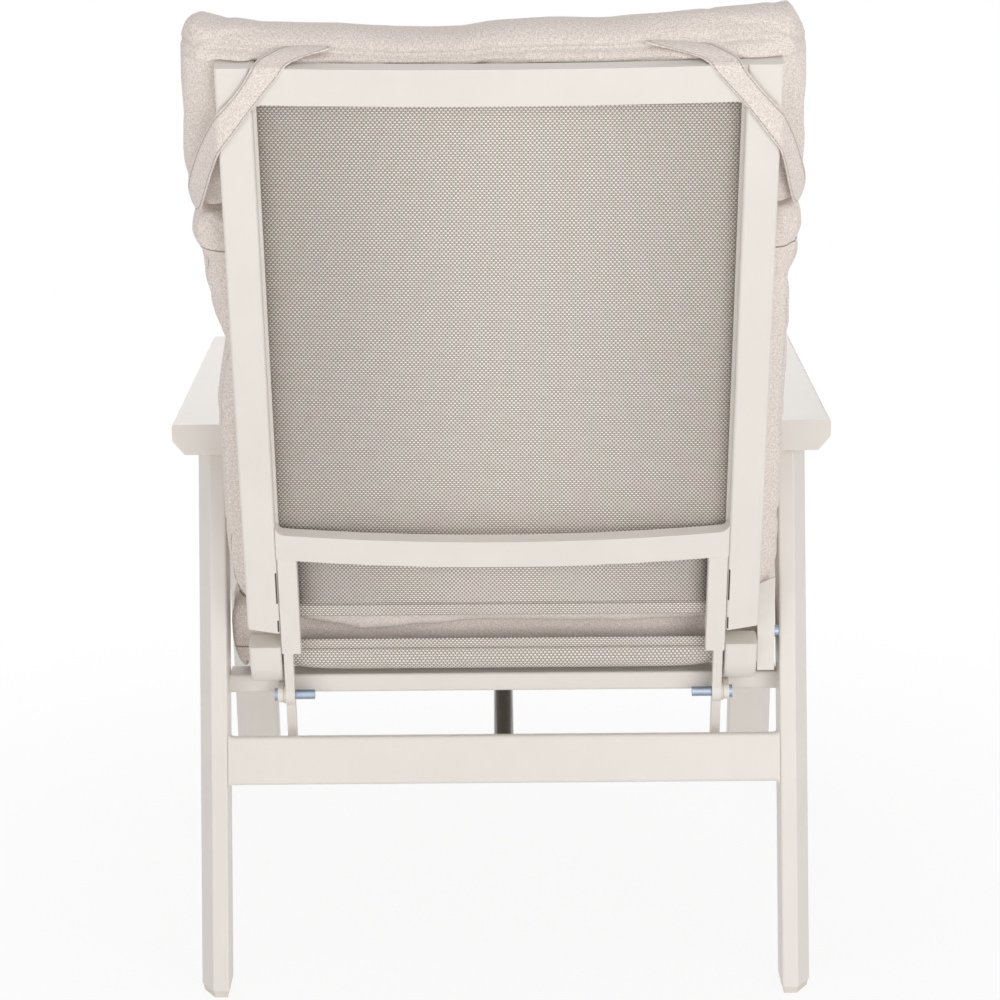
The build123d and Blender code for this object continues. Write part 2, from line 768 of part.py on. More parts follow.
with BuildPart() as rear_spring_clevis:
    with BuildSketch(middle_face.offset(clevis_inner)):
        with Locations((0, -spring_rear_drop)):
            Circle(clevis_edge)
        with Locations((0, -lever_bar_drop)):
            Circle(lever_bar_radius + clevis_thick)
        make_hull()
        with Locations((0, -lever_bar_drop)):
            Circle(lever_bar_radius, mode=Mode.SUBTRACT)
        with Locations((0, -spring_rear_drop)):
            Circle(pin_radius, mode=Mode.SUBTRACT)
    extrude(amount=clevis_thick)
    mirror(about=Plane.YZ)
rear_spring_clevis.part.label = "rear_spring_clevis"
export_step(rear_spring_clevis.part, "parts/rear_spring_clevis.step")

with BuildPart() as rear_spring_pin:
    with BuildSketch(middle_face):
        with Locations((0, -spring_rear_drop)):
            Circle(pin_radius)
    extrude(amount=clevis_outer, both=True)
    with BuildSketch(middle_face.offset(clevis_outer)):
        with Locations((0, -spring_rear_drop)):
            Circle(pin_head_radius)
    extrude(amount=pin_head_thick)
    mirror(about=Plane.YZ)
rear_spring_pin.part.label = "rear_spring_pin"
export_step(rear_spring_pin.part, "parts/rear_spring_pin.step")

# Gas spring: s runs from the rear pin to the front pin
rear_pin = (pivot_y - spring_rear_drop * back_sin, pivot_z - spring_rear_drop * back_cos)
front_pin = (spring_tube_y, spring_tube_top - spring_tube_height - spring_front_drop)
spring_reach = hypot(rear_pin[0] - front_pin[0], front_pin[1] - rear_pin[1])
spring_sin = (front_pin[1] - rear_pin[1]) / spring_reach
spring_cos = (rear_pin[0] - front_pin[0]) / spring_reach
spring_side = Plane(
    origin=(0, rear_pin[0], rear_pin[1]), x_dir=(1, 0, 0), z_dir=(0, spring_sin, spring_cos)
)
spring_axis = Axis((0, rear_pin[0], rear_pin[1]), (0, -spring_cos, spring_sin))
spring_section = Plane(
    origin=(0, rear_pin[0], rear_pin[1]), x_dir=(1, 0, 0), z_dir=(0, -spring_cos, spring_sin)
)
rod_tip = spring_length - rod_inside
head_start = spring_reach - head_length

with BuildPart() as gas_cylinder:
    with BuildSketch(spring_section.offset(spring_neck)):
        Circle(spring_radius)
    extrude(amount=spring_length - spring_neck)
    fillet(gas_cylinder.edges().filter_by(GeomType.CIRCLE), spring_shoulder)
    with BuildSketch(spring_section.offset(spring_length - rod_bore_depth)):
        Circle(rod_radius + rod_fit)
    extrude(amount=rod_bore_depth, mode=Mode.SUBTRACT)
gas_cylinder.part.label = "gas_cylinder"
export_step(gas_cylinder.part, "parts/gas_cylinder.step")

with BuildPart() as rod_gland:
    with BuildSketch(spring_section.offset(spring_length)):
        Circle(gland_radius)
        Circle(rod_radius + rod_fit, mode=Mode.SUBTRACT)
    extrude(amount=gland_length)
rod_gland.part.label = "rod_gland"
export_step(rod_gland.part, "parts/rod_gland.step")

with BuildPart() as cylinder_eye:
    with BuildSketch(spring_section):
        Circle(spring_neck_radius)
    extrude(amount=spring_neck)
    with BuildSketch(Plane.YZ.offset(-eye_width / 2)):
        with Locations(rear_pin):
            Circle(eye_radius)
    extrude(amount=eye_width)
    with BuildSketch(Plane.YZ.offset(-eye_width / 2)):
        with Locations(rear_pin):
            Circle(eye_bore)
    extrude(amount=eye_width, mode=Mode.SUBTRACT)
cylinder_eye.part.label = "cylinder_eye"
export_step(cylinder_eye.part, "parts/cylinder_eye.step")

with BuildPart() as piston_rod:
    with BuildSketch(spring_section.offset(rod_tip)):
        Circle(rod_radius)
    extrude(amount=head_start - rod_tip)
piston_rod.part.label = "piston_rod"
export_step(piston_rod.part, "parts/piston_rod.step")

with BuildPart() as release_head:
    with BuildSketch(spring_section.offset(head_start)):
        Circle(head_radius)
    extrude(amount=head_length)
    with BuildSketch(Plane.YZ.offset(-eye_width / 2)):
        with Locations(front_pin):
            Circle(head_radius)
    extrude(amount=eye_width)
    with BuildSketch(Plane.YZ.offset(eye_width / 2)):
        with Locations(front_pin):
            Rectangle(2 * head_length, 2 * head_length)
    extrude(amount=head_radius, mode=Mode.SUBTRACT)
    with BuildSketch(Plane.YZ.offset(-eye_width / 2)):
        with Locations(front_pin):
            Rectangle(2 * head_length, 2 * head_length)
    extrude(amount=-head_radius, mode=Mode.SUBTRACT)
    with BuildSketch(spring_section.offset(spring_reach + head_radius / 2)):
        Circle(release_pin_radius)
    extrude(amount=release_pin_length)
    with BuildSketch(Plane.YZ.offset(-eye_width / 2)):
        with Locations(front_pin):
            Circle(pin_radius + head_fit)
    extrude(amount=eye_width, mode=Mode.SUBTRACT)
release_head.part.label = "release_head"
export_step(release_head.part, "parts/release_head.step")

spring_tube_bottom = spring_tube_top - spring_tube_height

with BuildPart() as front_spring_clevis:
    with BuildSketch(Plane.YZ.offset(clevis_inner)):
        with Locations(front_pin):
            Circle(clevis_edge)
        with Locations((spring_tube_y, spring_tube_bottom)):
            Rectangle(
                spring_tube_depth - 2 * tube_edge,
                clevis_thick,
                align=(Align.CENTER, Align.MAX),
            )
        make_hull()
        with Locations(front_pin):
            Circle(pin_radius, mode=Mode.SUBTRACT)
    extrude(amount=clevis_thick)
    mirror(about=Plane.YZ)
front_spring_clevis.part.label = "front_spring_clevis"
export_step(front_spring_clevis.part, "parts/front_spring_clevis.step")

with BuildPart() as front_spring_pin:
    with BuildSketch(Plane.YZ):
        with Locations(front_pin):
            Circle(pin_radius)
    extrude(amount=clevis_outer, both=True)
    with BuildSketch(Plane.YZ.offset(clevis_outer)):
        with Locations(front_pin):
            Circle(pin_head_radius)
    extrude(amount=pin_head_thick)
    mirror(about=Plane.YZ)
front_spring_pin.part.label = "front_spring_pin"
export_step(front_spring_pin.part, "parts/front_spring_pin.step")

# Release lever: a paddle on a pin that stands out of the right rear leg
lever_y = rear_foot_y - lever_ahead
lever_plate_y = rear_foot_y - lever_plate_ahead
lever_inner_x = frame_half_width - lever_side_gap
lever_outer_x = lever_inner_x + lever_width

with BuildPart() as release_lever:
    with BuildSketch(Plane.YZ.offset(-lever_outer_x)):
        with BuildLine():
            Polyline(
                (lever_plate_y, lever_plate_bottom),
                (lever_plate_y, lever_plate_top),
                (lever_plate_y - lever_plate_thick, lever_plate_top),
                (lever_plate_y - lever_plate_thick, lever_plate_bottom),
                close=True,
            )
        make_face()
        with Locations((lever_y, lever_z)):
            Circle(lever_hub_radius)
        with Locations((lever_y, lever_z)):
            Rectangle(
                lever_plate_y - lever_y - lever_plate_thick / 2,
                lever_web,
                align=(Align.MIN, Align.CENTER),
            )
        with Locations((lever_y, lever_z)):
            Circle(lever_pin_radius + lever_pin_fit, mode=Mode.SUBTRACT)
    extrude(amount=lever_width)
    with BuildSketch(Plane.XZ.offset(-lever_plate_y - overrun)):
        with BuildLine():
            Polyline(
                (-lever_outer_x, lever_plate_top),
                (-lever_inner_x, lever_plate_top),
                (-lever_inner_x, lever_plate_top - lever_plate_slant),
                close=True,
            )
        make_face()
    extrude(amount=lever_plate_thick + 2 * overrun, mode=Mode.SUBTRACT)
release_lever.part.label = "release_lever"
export_step(release_lever.part, "parts/release_lever.step")

with BuildPart() as lever_pin:
    with BuildSketch(Plane.YZ.offset(-frame_half_width)):
        with Locations((lever_y, lever_z)):
            Circle(lever_pin_radius)
    extrude(amount=frame_half_width - lever_inner_x)
    with BuildSketch(Plane.YZ.offset(-frame_half_width)):
        with Locations((lever_y, lever_z)):
            Circle(lever_collar_radius)
    extrude(amount=frame_half_width - lever_outer_x - soft_gap)
lever_pin.part.label = "lever_pin"
export_step(lever_pin.part, "parts/lever_pin.step")

# Slings: a thin sheet with a rope in each side hem, drawn into the rails' grooves
back_sling_top_u = rail_top_u - back_sling_top_gap

with BuildPart() as back_sling:
    with BuildSketch(back_plan.offset(back_sling_bottom_u)):
        with Locations((0, sling_w)):
            Rectangle(2 * groove_x, sling_thick)
        with Locations((-groove_x, sling_w), (groove_x, sling_w)):
            Circle(rope_radius)
    extrude(amount=back_sling_top_u - back_sling_bottom_u)
    with BuildSketch(
        back_plan.offset(back_sling_bottom_u),
        back_plan.offset(back_sling_top_u - back_sling_hem),
    ):
        with Locations((0, sling_w)):
            Rectangle(2 * (lip_x - hem_side_gap), sling_thick + 2 * hem_extra)
    extrude(amount=back_sling_hem)
back_sling.part.label = "back_sling"
export_step(back_sling.part, "parts/back_sling.step")

sling_start = (
    back_line_y + seat_sling_top_u * back_sin,
    back_line_z + seat_sling_top_u * back_cos,
)
sling_drop = front_drop_length - seat_sling_front_gap
sling_end = (
    front_corner[0] - sling_drop * drop_cos,
    front_corner[1] - sling_drop * drop_sin,
)

with BuildPart() as seat_sling:
    with BuildLine(Plane.YZ) as sling_path:
        FilletPolyline(
            sling_start,
            rear_corner,
            front_corner,
            sling_end,
            radius=[rear_bend_radius, front_bend_radius],
        )
    sling_wire = sling_path.wire()
    with BuildSketch(Plane(origin=sling_wire @ 0, x_dir=(1, 0, 0), z_dir=sling_wire % 0)):
        with Locations((0, sling_from_middle)):
            Rectangle(2 * groove_x, sling_thick)
        with Locations((-groove_x, sling_from_middle), (groove_x, sling_from_middle)):
            Circle(rope_radius)
    sweep(path=sling_wire)
    with BuildSketch(back_plan.offset(seat_sling_top_u - seat_sling_hem)):
        with Locations((0, sling_w)):
            Rectangle(2 * (lip_x - hem_side_gap), sling_thick + 2 * hem_extra)
    extrude(amount=seat_sling_hem)
seat_sling.part.label = "seat_sling"
export_step(seat_sling.part, "parts/seat_sling.step")

# Cushions: lofts through bowed sections, full in the middle and drawn in at the ends
seat_cushion_half_width = frame_half_width - seat_cushion_side_gap
seat_cushion_rear_y = rear_foot_y - seat_cushion_rear_ahead
seat_cushion_bottom = (
    saddle_z + (seat_tube_y - seat_cushion_rear_y) * tan(radians(seat_slope))
    + (rail_depth + soft_gap) / seat_cos
)
seat_section_plane = Plane(
    origin=(0, seat_cushion_rear_y, seat_cushion_bottom),
    x_dir=(1, 0, 0),
    z_dir=(0, -seat_cos, seat_sin),
)
seat_section_shares = (
    (0.0, 0.955, 0.62),
    (0.03, 0.985, 0.86),
    (0.12, 1.0, 1.0),
    (0.5, 1.0, 1.0),
    (0.88, 1.0, 1.0),
    (0.97, 0.985, 0.86),
    (1.0, 0.955, 0.62),
)

with BuildPart() as seat_cushion:
    for run_share, width_share, thick_share in seat_section_shares:
        half = seat_cushion_half_width * width_share - cushion_side_bulge
        thick = seat_cushion_thick * thick_share
        crown = seat_cushion_crown * thick_share
        low = (seat_cushion_thick - thick) / 2
        with BuildSketch(seat_section_plane.offset(seat_cushion_length * run_share)) as section:
            with BuildLine():
                Line((-half, low), (half, low))
                ThreePointArc(
                    (half, low), (half + cushion_side_bulge, low + thick / 2), (half, low + thick)
                )
                ThreePointArc((half, low + thick), (0, low + thick + crown), (-half, low + thick))
                ThreePointArc(
                    (-half, low + thick),
                    (-half - cushion_side_bulge, low + thick / 2),
                    (-half, low),
                )
            make_face()
            fillet(section.vertices(), cushion_corner * thick_share)
    loft()
seat_cushion.part.label = "seat_cushion"
export_step(seat_cushion.part, "parts/seat_cushion.step")

back_cushion_half_width = rail_outer_x + back_cushion_overhang
back_cushion_notch_u = rail_top_u - back_cushion_notch_fall
cushion_rear_w = rail_front_w - cushion_gap
back_section_shares = (
    (0.0, 0.93, 0.60),
    (0.04, 0.965, 0.84),
    (0.14, 0.985, 1.0),
    (0.5, 1.0, 1.0),
    (0.86, 1.02, 0.98),
    (0.96, 1.02, 0.86),
    (1.0, 1.0, 0.66),
)
back_cushion_length = back_cushion_notch_u - back_cushion_bottom_u

with BuildPart() as back_cushion:
    for run_share, width_share, thick_share in back_section_shares:
        half = back_cushion_half_width * width_share - cushion_side_bulge
        thick = back_cushion_thick * thick_share
        crown = back_cushion_crown * thick_share
        rear = cushion_rear_w - (back_cushion_thick - thick) / 3
        front = rear - thick
        with BuildSketch(
            back_plan.offset(back_cushion_bottom_u + back_cushion_length * run_share)
        ) as section:
            with BuildLine():
                Line((-half, rear), (half, rear))
                ThreePointArc(
                    (half, rear), (half + cushion_side_bulge, rear - thick / 2), (half, front)
                )
                ThreePointArc((half, front), (0, front - crown), (-half, front))
                ThreePointArc(
                    (-half, front), (-half - cushion_side_bulge, rear - thick / 2), (-half, rear)
                )
            make_face()
            fillet(section.vertices(), cushion_corner * thick_share)
    loft()
back_cushion.part.label = "back_cushion"
export_step(back_cushion.part, "parts/back_cushion.step")

head_section_shares = (
    (0.0, 0.955, 0.66),
    (0.10, 0.99, 0.88),
    (0.30, 1.0, 1.0),
    (0.65, 1.0, 1.0),
    (0.90, 0.99, 0.84),
    (1.0, 0.95, 0.56),
)
head_cushion_half_width = rail_outer_x + head_cushion_overhang
head_cushion_top_u = rail_top_u + head_cushion_rise
head_cushion_length = head_cushion_top_u - back_cushion_notch_u

with BuildPart() as head_cushion:
    for run_share, width_share, thick_share in head_section_shares:
        half = head_cushion_half_width * width_share - cushion_side_bulge
        left = head_cushion_shift - half
        right = head_cushion_shift + half
        thick = head_cushion_thick * thick_share
        crown = head_cushion_crown * thick_share
        rear = cushion_rear_w - (head_cushion_thick - thick) / 3
        front = rear - thick
        with BuildSketch(
            back_plan.offset(back_cushion_notch_u + head_cushion_length * run_share)
        ) as section:
            with BuildLine():
                Line((left, rear), (right, rear))
                ThreePointArc(
                    (right, rear), (right + cushion_side_bulge, rear - thick / 2), (right, front)
                )
                ThreePointArc(
                    (right, front), (head_cushion_shift, front - crown), (left, front)
                )
                ThreePointArc(
                    (left, front), (left - cushion_side_bulge, rear - thick / 2), (left, rear)
                )
            make_face()
            fillet(section.vertices(), cushion_corner * thick_share)
    loft()
head_cushion.part.label = "head_cushion"
export_step(head_cushion.part, "parts/head_cushion.step")

# Corner straps: sewn behind the head cushion, over the top rail and round to its sides
corner_strap_sewn_u = rail_top_u + corner_strap_sewn_rise
corner_strap_side_u = rail_top_u - corner_strap_side_fall
corner_strap_end_u = rail_top_u - corner_strap_end_fall
corner_strap_sewn_x = rail_outer_x - corner_strap_sewn_inset
corner_strap_front_x = rail_outer_x - corner_strap_front_inset
corner_strap_rear_x = rail_outer_x - corner_strap_rear_inset
strap_fore = cross_front_w - corner_strap_gap
strap_over = rail_top_u + corner_strap_gap
strap_bow = top_rail_bow * (1 - (corner_strap_front_x / rail_inner_x) ** 2)
strap_behind = rail_rear + strap_bow + corner_strap_gap
strap_half = corner_strap_width / 2
strap_run = rail_outer_x - corner_strap_rear_x
strap_fall = rail_top_u - corner_strap_side_u
strap_slant = hypot(strap_run, strap_fall)
strap_half_over = strap_half * strap_slant / strap_fall
strap_half_side = strap_half * strap_slant / strap_run


def corner_strap_bands(side):
    edge_x = rail_outer_x + corner_strap_gap
    edge_w = strap_behind
    rise = Vector(0, -corner_strap_sewn_w - strap_fore, corner_strap_sewn_u - strap_over)
    rise_plane = Plane(
        origin=back_plan.from_local_coords(Vector(0, strap_fore, strap_over)),
        x_dir=(1, 0, 0),
        z_dir=back_plan.z_dir * rise.Y - back_plan.y_dir * rise.Z,
    )
    end_x = head_cushion_half_width + side * head_cushion_shift + corner_strap_end_gap
    along = Vector(side * (end_x - edge_x), -corner_strap_end_w - edge_w, 0)
    side_plane = Plane(
        origin=back_plan.from_local_coords(Vector(side * edge_x, edge_w, corner_strap_side_u)),
        x_dir=back_plan.z_dir,
        z_dir=back_plan.y_dir * along.X - back_plan.x_dir * along.Y,
    )
    rear_outline = [
        (side * (corner_strap_rear_x - strap_half_over), strap_over + corner_strap_thick),
        (side * (corner_strap_rear_x + strap_half_over), strap_over + corner_strap_thick),
        (side * (edge_x + corner_strap_thick), corner_strap_side_u + strap_half_side),
        (side * (edge_x + corner_strap_thick), corner_strap_side_u - strap_half_side),
    ]
    over_outline = [
        (side * (corner_strap_front_x - strap_half_over), strap_fore),
        (side * (corner_strap_front_x + strap_half_over), strap_fore),
        (side * (corner_strap_rear_x + strap_half_over), strap_behind + corner_strap_thick),
        (side * (corner_strap_rear_x - strap_half_over), strap_behind + corner_strap_thick),
    ]
    rise_outline = [
        (side * (corner_strap_front_x - strap_half_over), 0),
        (side * (corner_strap_front_x + strap_half_over), 0),
        (side * (corner_strap_sewn_x + strap_half), rise.length),
        (side * (corner_strap_sewn_x - strap_half), rise.length),
    ]
    drop = corner_strap_end_u - corner_strap_side_u
    side_outline = [
        (strap_half_side, 0),
        (-strap_half_side, 0),
        (drop - strap_half, along.length),
        (drop + strap_half, along.length),
    ]
    return [
        (back_face.offset(-strap_behind - corner_strap_thick), rear_outline, corner_strap_thick),
        (back_plan.offset(strap_over), over_outline, corner_strap_thick),
        (rise_plane, rise_outline, -corner_strap_thick),
        (side_plane, side_outline, side * corner_strap_thick),
    ]


with BuildPart() as left_corner_strap:
    for band_plane, band_outline, band_thick in corner_strap_bands(1):
        with BuildSketch(band_plane):
            with BuildLine():
                Polyline(*band_outline, close=True)
            make_face()
        extrude(amount=band_thick)
left_corner_strap.part.label = "left_corner_strap"
export_step(left_corner_strap.part, "parts/left_corner_strap.step")

with BuildPart() as right_corner_strap:
    for band_plane, band_outline, band_thick in corner_strap_bands(-1):
        with BuildSketch(band_plane):
            with BuildLine():
                Polyline(*band_outline, close=True)
            make_face()
        extrude(amount=band_thick)
right_corner_strap.part.label = "right_corner_strap"
export_step(right_corner_strap.part, "parts/right_corner_strap.step")
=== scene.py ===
# Reclining garden armchair, seen from behind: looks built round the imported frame
import json
from math import cos, exp, pi, radians, sin

import bmesh
import bpy
import numpy as np
from mathutils import Matrix, Vector, noise


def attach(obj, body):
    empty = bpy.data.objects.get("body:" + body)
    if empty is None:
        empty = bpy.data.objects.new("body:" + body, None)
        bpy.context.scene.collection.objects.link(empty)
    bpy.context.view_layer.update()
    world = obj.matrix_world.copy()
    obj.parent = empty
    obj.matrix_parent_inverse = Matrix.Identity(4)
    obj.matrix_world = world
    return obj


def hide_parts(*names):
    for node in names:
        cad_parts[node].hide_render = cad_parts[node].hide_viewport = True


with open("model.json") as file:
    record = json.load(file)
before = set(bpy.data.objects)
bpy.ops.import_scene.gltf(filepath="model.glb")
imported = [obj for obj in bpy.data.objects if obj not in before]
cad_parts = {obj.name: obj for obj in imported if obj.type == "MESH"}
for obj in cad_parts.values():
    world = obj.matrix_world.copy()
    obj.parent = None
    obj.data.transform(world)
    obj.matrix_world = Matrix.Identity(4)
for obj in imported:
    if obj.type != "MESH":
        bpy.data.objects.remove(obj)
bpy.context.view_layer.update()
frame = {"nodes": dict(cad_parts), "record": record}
nodes = frame["nodes"]
scene = bpy.context.scene
print("frame loaded,", len(nodes), "nodes")

# Places along the back, in metres: x across, u up from the pivot, w rearward
back = {"lean": radians(17.65), "pivotY": 0.2405, "pivotZ": 0.310}
seat = {"slope": radians(4.5), "rearY": 0.213, "bottomZ": 0.34983}
backTurn = Matrix.Translation((0, back["pivotY"], back["pivotZ"])) @ Matrix.Rotation(-back["lean"], 4, "X")


def onBack(x, u, w):
    return backTurn @ Vector((x, w, u))


def smooth(value, low, high):
    share = min(1.0, max(0.0, (value - low) / (high - low)))
    return share * share * (3 - 2 * share)


def deselect():
    if bpy.context.mode != "OBJECT":
        bpy.ops.object.mode_set(mode="OBJECT")
    bpy.ops.object.select_all(action="DESELECT")


def take(piece):
    deselect()
    piece.select_set(True)
    bpy.context.view_layer.objects.active = piece
    return piece


def edit(piece, part="VERT"):
    take(piece)
    bpy.ops.object.mode_set(mode="EDIT")
    bpy.ops.mesh.select_mode(type=part)
    bpy.ops.mesh.select_all(action="DESELECT")
    return bmesh.from_edit_mesh(piece.data)


def done(piece):
    bmesh.update_edit_mesh(piece.data)
    bpy.ops.object.mode_set(mode="OBJECT")
    return piece


def settle(piece, angle=40):
    # place into the mesh, faces outwards, soft shading
    take(piece)
    bpy.ops.object.transform_apply(location=True, rotation=True, scale=True)
    bpy.ops.object.mode_set(mode="EDIT")
    bpy.ops.mesh.select_all(action="SELECT")
    bpy.ops.mesh.remove_doubles(threshold=0.00002)
    bpy.ops.mesh.normals_make_consistent(inside=False)
    bpy.ops.object.mode_set(mode="OBJECT")
    bpy.ops.object.shade_smooth_by_angle(angle=radians(angle))
    return piece


def finishWith(piece, kind, **settings):
    take(piece)
    modifier = piece.modifiers.new(kind.lower(), kind)
    for name, value in settings.items():
        setattr(modifier, name, value)
    bpy.ops.object.modifier_apply(modifier=modifier.name)
    return piece


def copyOfNode(node, name):
    mesh = nodes[node].data.copy()
    piece = bpy.data.objects.new(name, mesh)
    scene.collection.objects.link(piece)
    mesh.name = name
    mesh.materials.clear()
    edit(piece)
    bpy.ops.mesh.select_all(action="SELECT")
    bpy.ops.mesh.remove_doubles(threshold=0.0001)
    bpy.ops.mesh.normals_make_consistent(inside=False)
    return done(piece)


def coat(piece, material):
    piece.data.materials.clear()
    piece.data.materials.append(material)


def clothMap(piece):
    # flat cloth coordinates in metres, box-projected in the piece's own frame
    if "cloth" not in piece.data.uv_layers:
        piece.data.uv_layers.new(name="cloth")
    layer = piece.data.uv_layers["cloth"].data
    for face in piece.data.polygons:
        n = face.normal
        across = max(range(3), key=lambda k: abs(n[k]))
        a, b = [(1, 2), (0, 2), (0, 1)][across]
        for corner in face.loop_indices:
            co = piece.data.vertices[piece.data.loops[corner].vertex_index].co
            layer[corner].uv = (co[a], co[b])


def makeNode(tree, kind, settings, values):
    # a node with its settings, and each input set or linked
    made = tree.nodes.new("ShaderNode" + kind)
    for name, value in settings.items():
        setattr(made, name, value)
    for place, value in values.items():
        if isinstance(value, Signal):
            tree.links.new(value.socket, made.inputs[place])
        else:
            made.inputs[place].default_value = value
    return made


class Signal:
    # a socket that sums can be done on
    def __init__(self, tree, socket):
        self.tree, self.socket = tree, socket

    def maths(self, operation, *values):
        return Signal(self.tree, makeNode(self.tree, "Math", {"operation": operation}, dict(enumerate(values))).outputs[0])

    def __add__(self, other):
        return self.maths("ADD", self, other)

    def __sub__(self, other):
        return self.maths("SUBTRACT", self, other)

    def __rsub__(self, other):
        return self.maths("SUBTRACT", other, self)

    def __mul__(self, other):
        return self.maths("MULTIPLY", self, other)

    def wave(self, period):
        return self.maths("COSINE", self * (2 * pi / period))

    def step(self, low, high):
        # from 0 at low to 1 at high, eased at both ends
        made = makeNode(
            self.tree, "MapRange", {"interpolation_type": "SMOOTHSTEP"}, {"Value": self, "From Min": low, "From Max": high}
        )
        return Signal(self.tree, made.outputs["Result"])

    def line(self, place, half):
        # 1 on a thin line at a place, 0 away from it
        return 1 - self.maths("ABSOLUTE", self - place).step(half * 0.5, half)


class Finish:
    def __init__(self, name, **constants):
        self.material = bpy.data.materials.new(name)
        self.material.use_nodes = True
        self.tree = self.material.node_tree
        self.shader = self.tree.nodes["Principled BSDF"]
        for socket, value in constants.items():
            self.shader.inputs[socket.replace("_", " ")].default_value = value

    def node(self, kind, settings=None, values=None, output=0):
        return Signal(self.tree, makeNode(self.tree, kind, settings or {}, values or {}).outputs[output])

    def place(self):
        return self.node("TexCoord", output="Object")

    def grain(self, where, scale, detail=2.0, rough=0.5):
        return self.node("TexNoise", None, {"Vector": where, "Scale": scale, "Detail": detail, "Roughness": rough})

    def axes(self, where):
        made = makeNode(self.tree, "SeparateXYZ", {}, {0: where})
        return [Signal(self.tree, made.outputs[k]) for k in range(3)]

    def size(self, signal):
        return signal.maths("ABSOLUTE", signal)

    def along(self, start, direction):
        # distance from a start point in one direction
        local = self.node("VectorMath", {"operation": "SUBTRACT"}, {0: self.place(), 1: start})
        return self.node("VectorMath", {"operation": "DOT_PRODUCT"}, {0: local, 1: direction}, "Value")

    def backPlace(self):
        # x across, u up the back, w rearward, all from the pivot
        lean = back["lean"]
        directions = (1, 0, 0), (0, sin(lean), cos(lean)), (0, cos(lean), -sin(lean))
        return [self.along((0, back["pivotY"], back["pivotZ"]), direction) for direction in directions]

    def joined(self, x, y, z=0.0):
        return self.node("CombineXYZ", None, {0: x, 1: y, 2: z})

    def mixed(self, share, first, second):
        # the Mix node's colour sockets are 6 and 7 in, 2 out
        return self.node("Mix", {"data_type": "RGBA"}, {0: share, 6: first, 7: second}, 2)

    def feed(self, socket, signal):
        self.tree.links.new(signal.socket, self.shader.inputs[socket])

    def relief(self, height, distance, strength=1.0):
        bump = self.node("Bump", None, {"Height": height, "Distance": distance, "Strength": strength})
        self.feed("Normal", bump)


def tone(red, green, blue):
    # a colour given as it shows on a screen, 0 to 255
    linear = [((c / 255 + 0.055) / 1.055) ** 2.4 for c in (red, green, blue)]
    return (*linear, 1.0)


def dull(colour, share):
    return (*(c * share for c in colour[:3]), 1.0)


paintLook = {
    "colour": tone(233, 227, 220), "rough": 0.40, "level": 0.45, "patch": 9.0, "dim": 0.975, "lit": 1.01,
    "peel": 900.0, "peelDepth": 0.00012, "peelShare": 0.5,
}
plasticLook = {"colour": tone(226, 219, 209), "rough": 0.55}
# a thin dark line on the back rails' rear faces: painted shade of the narrow open seam between each rail and its
# bracket tube
slitShadeLook = {
    "x": 0.2376, "half": 0.0011, "runs": ((0.122, 0.160), (0.086, 0.100)), "fade": 0.0004,
    "rearW": 0.0045, "rearFade": 0.001, "dark": tone(70, 58, 50),
}


def paintFinish(name, colour, rough, slitShade=False):
    finish = Finish(name, Specular_IOR_Level=paintLook["level"])
    where = finish.place()
    patches = finish.grain(where, paintLook["patch"], 3.0)
    shown = finish.mixed(patches.step(0.3, 0.7), dull(colour, paintLook["dim"]), dull(colour, paintLook["lit"]))
    if slitShade:
        # painted shade: a thin dark line in the open ends of the seam between the rail and the bracket tube
        x, rise, depth = finish.backPlace()
        beside = finish.size(x).line(slitShadeLook["x"], slitShadeLook["half"])
        along = 0.0
        for low, high in slitShadeLook["runs"]:
            along = rise.step(low - slitShadeLook["fade"], low) * (1 - rise.step(high, high + slitShadeLook["fade"])) + along
        behind = depth.step(slitShadeLook["rearW"], slitShadeLook["rearW"] + slitShadeLook["rearFade"])
        shown = finish.mixed(beside * along * behind, shown, slitShadeLook["dark"])
    finish.feed("Base Color", shown)
    finish.feed("Roughness", patches * 0.08 + (rough - 0.04))
    finish.relief(finish.grain(where, paintLook["peel"], 1.0), paintLook["peelDepth"], paintLook["peelShare"])
    return finish.material


creamPaint = paintFinish("creamPaint", paintLook["colour"], paintLook["rough"])
creamPaintSlitShade = paintFinish("creamPaintSlitShade", paintLook["colour"], paintLook["rough"], slitShade=True)
creamPlastic = paintFinish("creamPlastic", plasticLook["colour"], plasticLook["rough"])

fabricLook = {
    "light": tone(253, 244, 237), "dark": tone(221, 207, 198), "thread": tone(150, 134, 124),
    "fleck": tone(188, 170, 159), "pale": tone(255, 250, 246), "pitch": 0.0021, "yarn": 950.0, "slub": 560.0,
    "seamDeep": 2.5, "stitch": 0.0105, "stitchHalf": 0.0007, "stitchPitch": 0.003, "stitchDeep": 1.5,
}


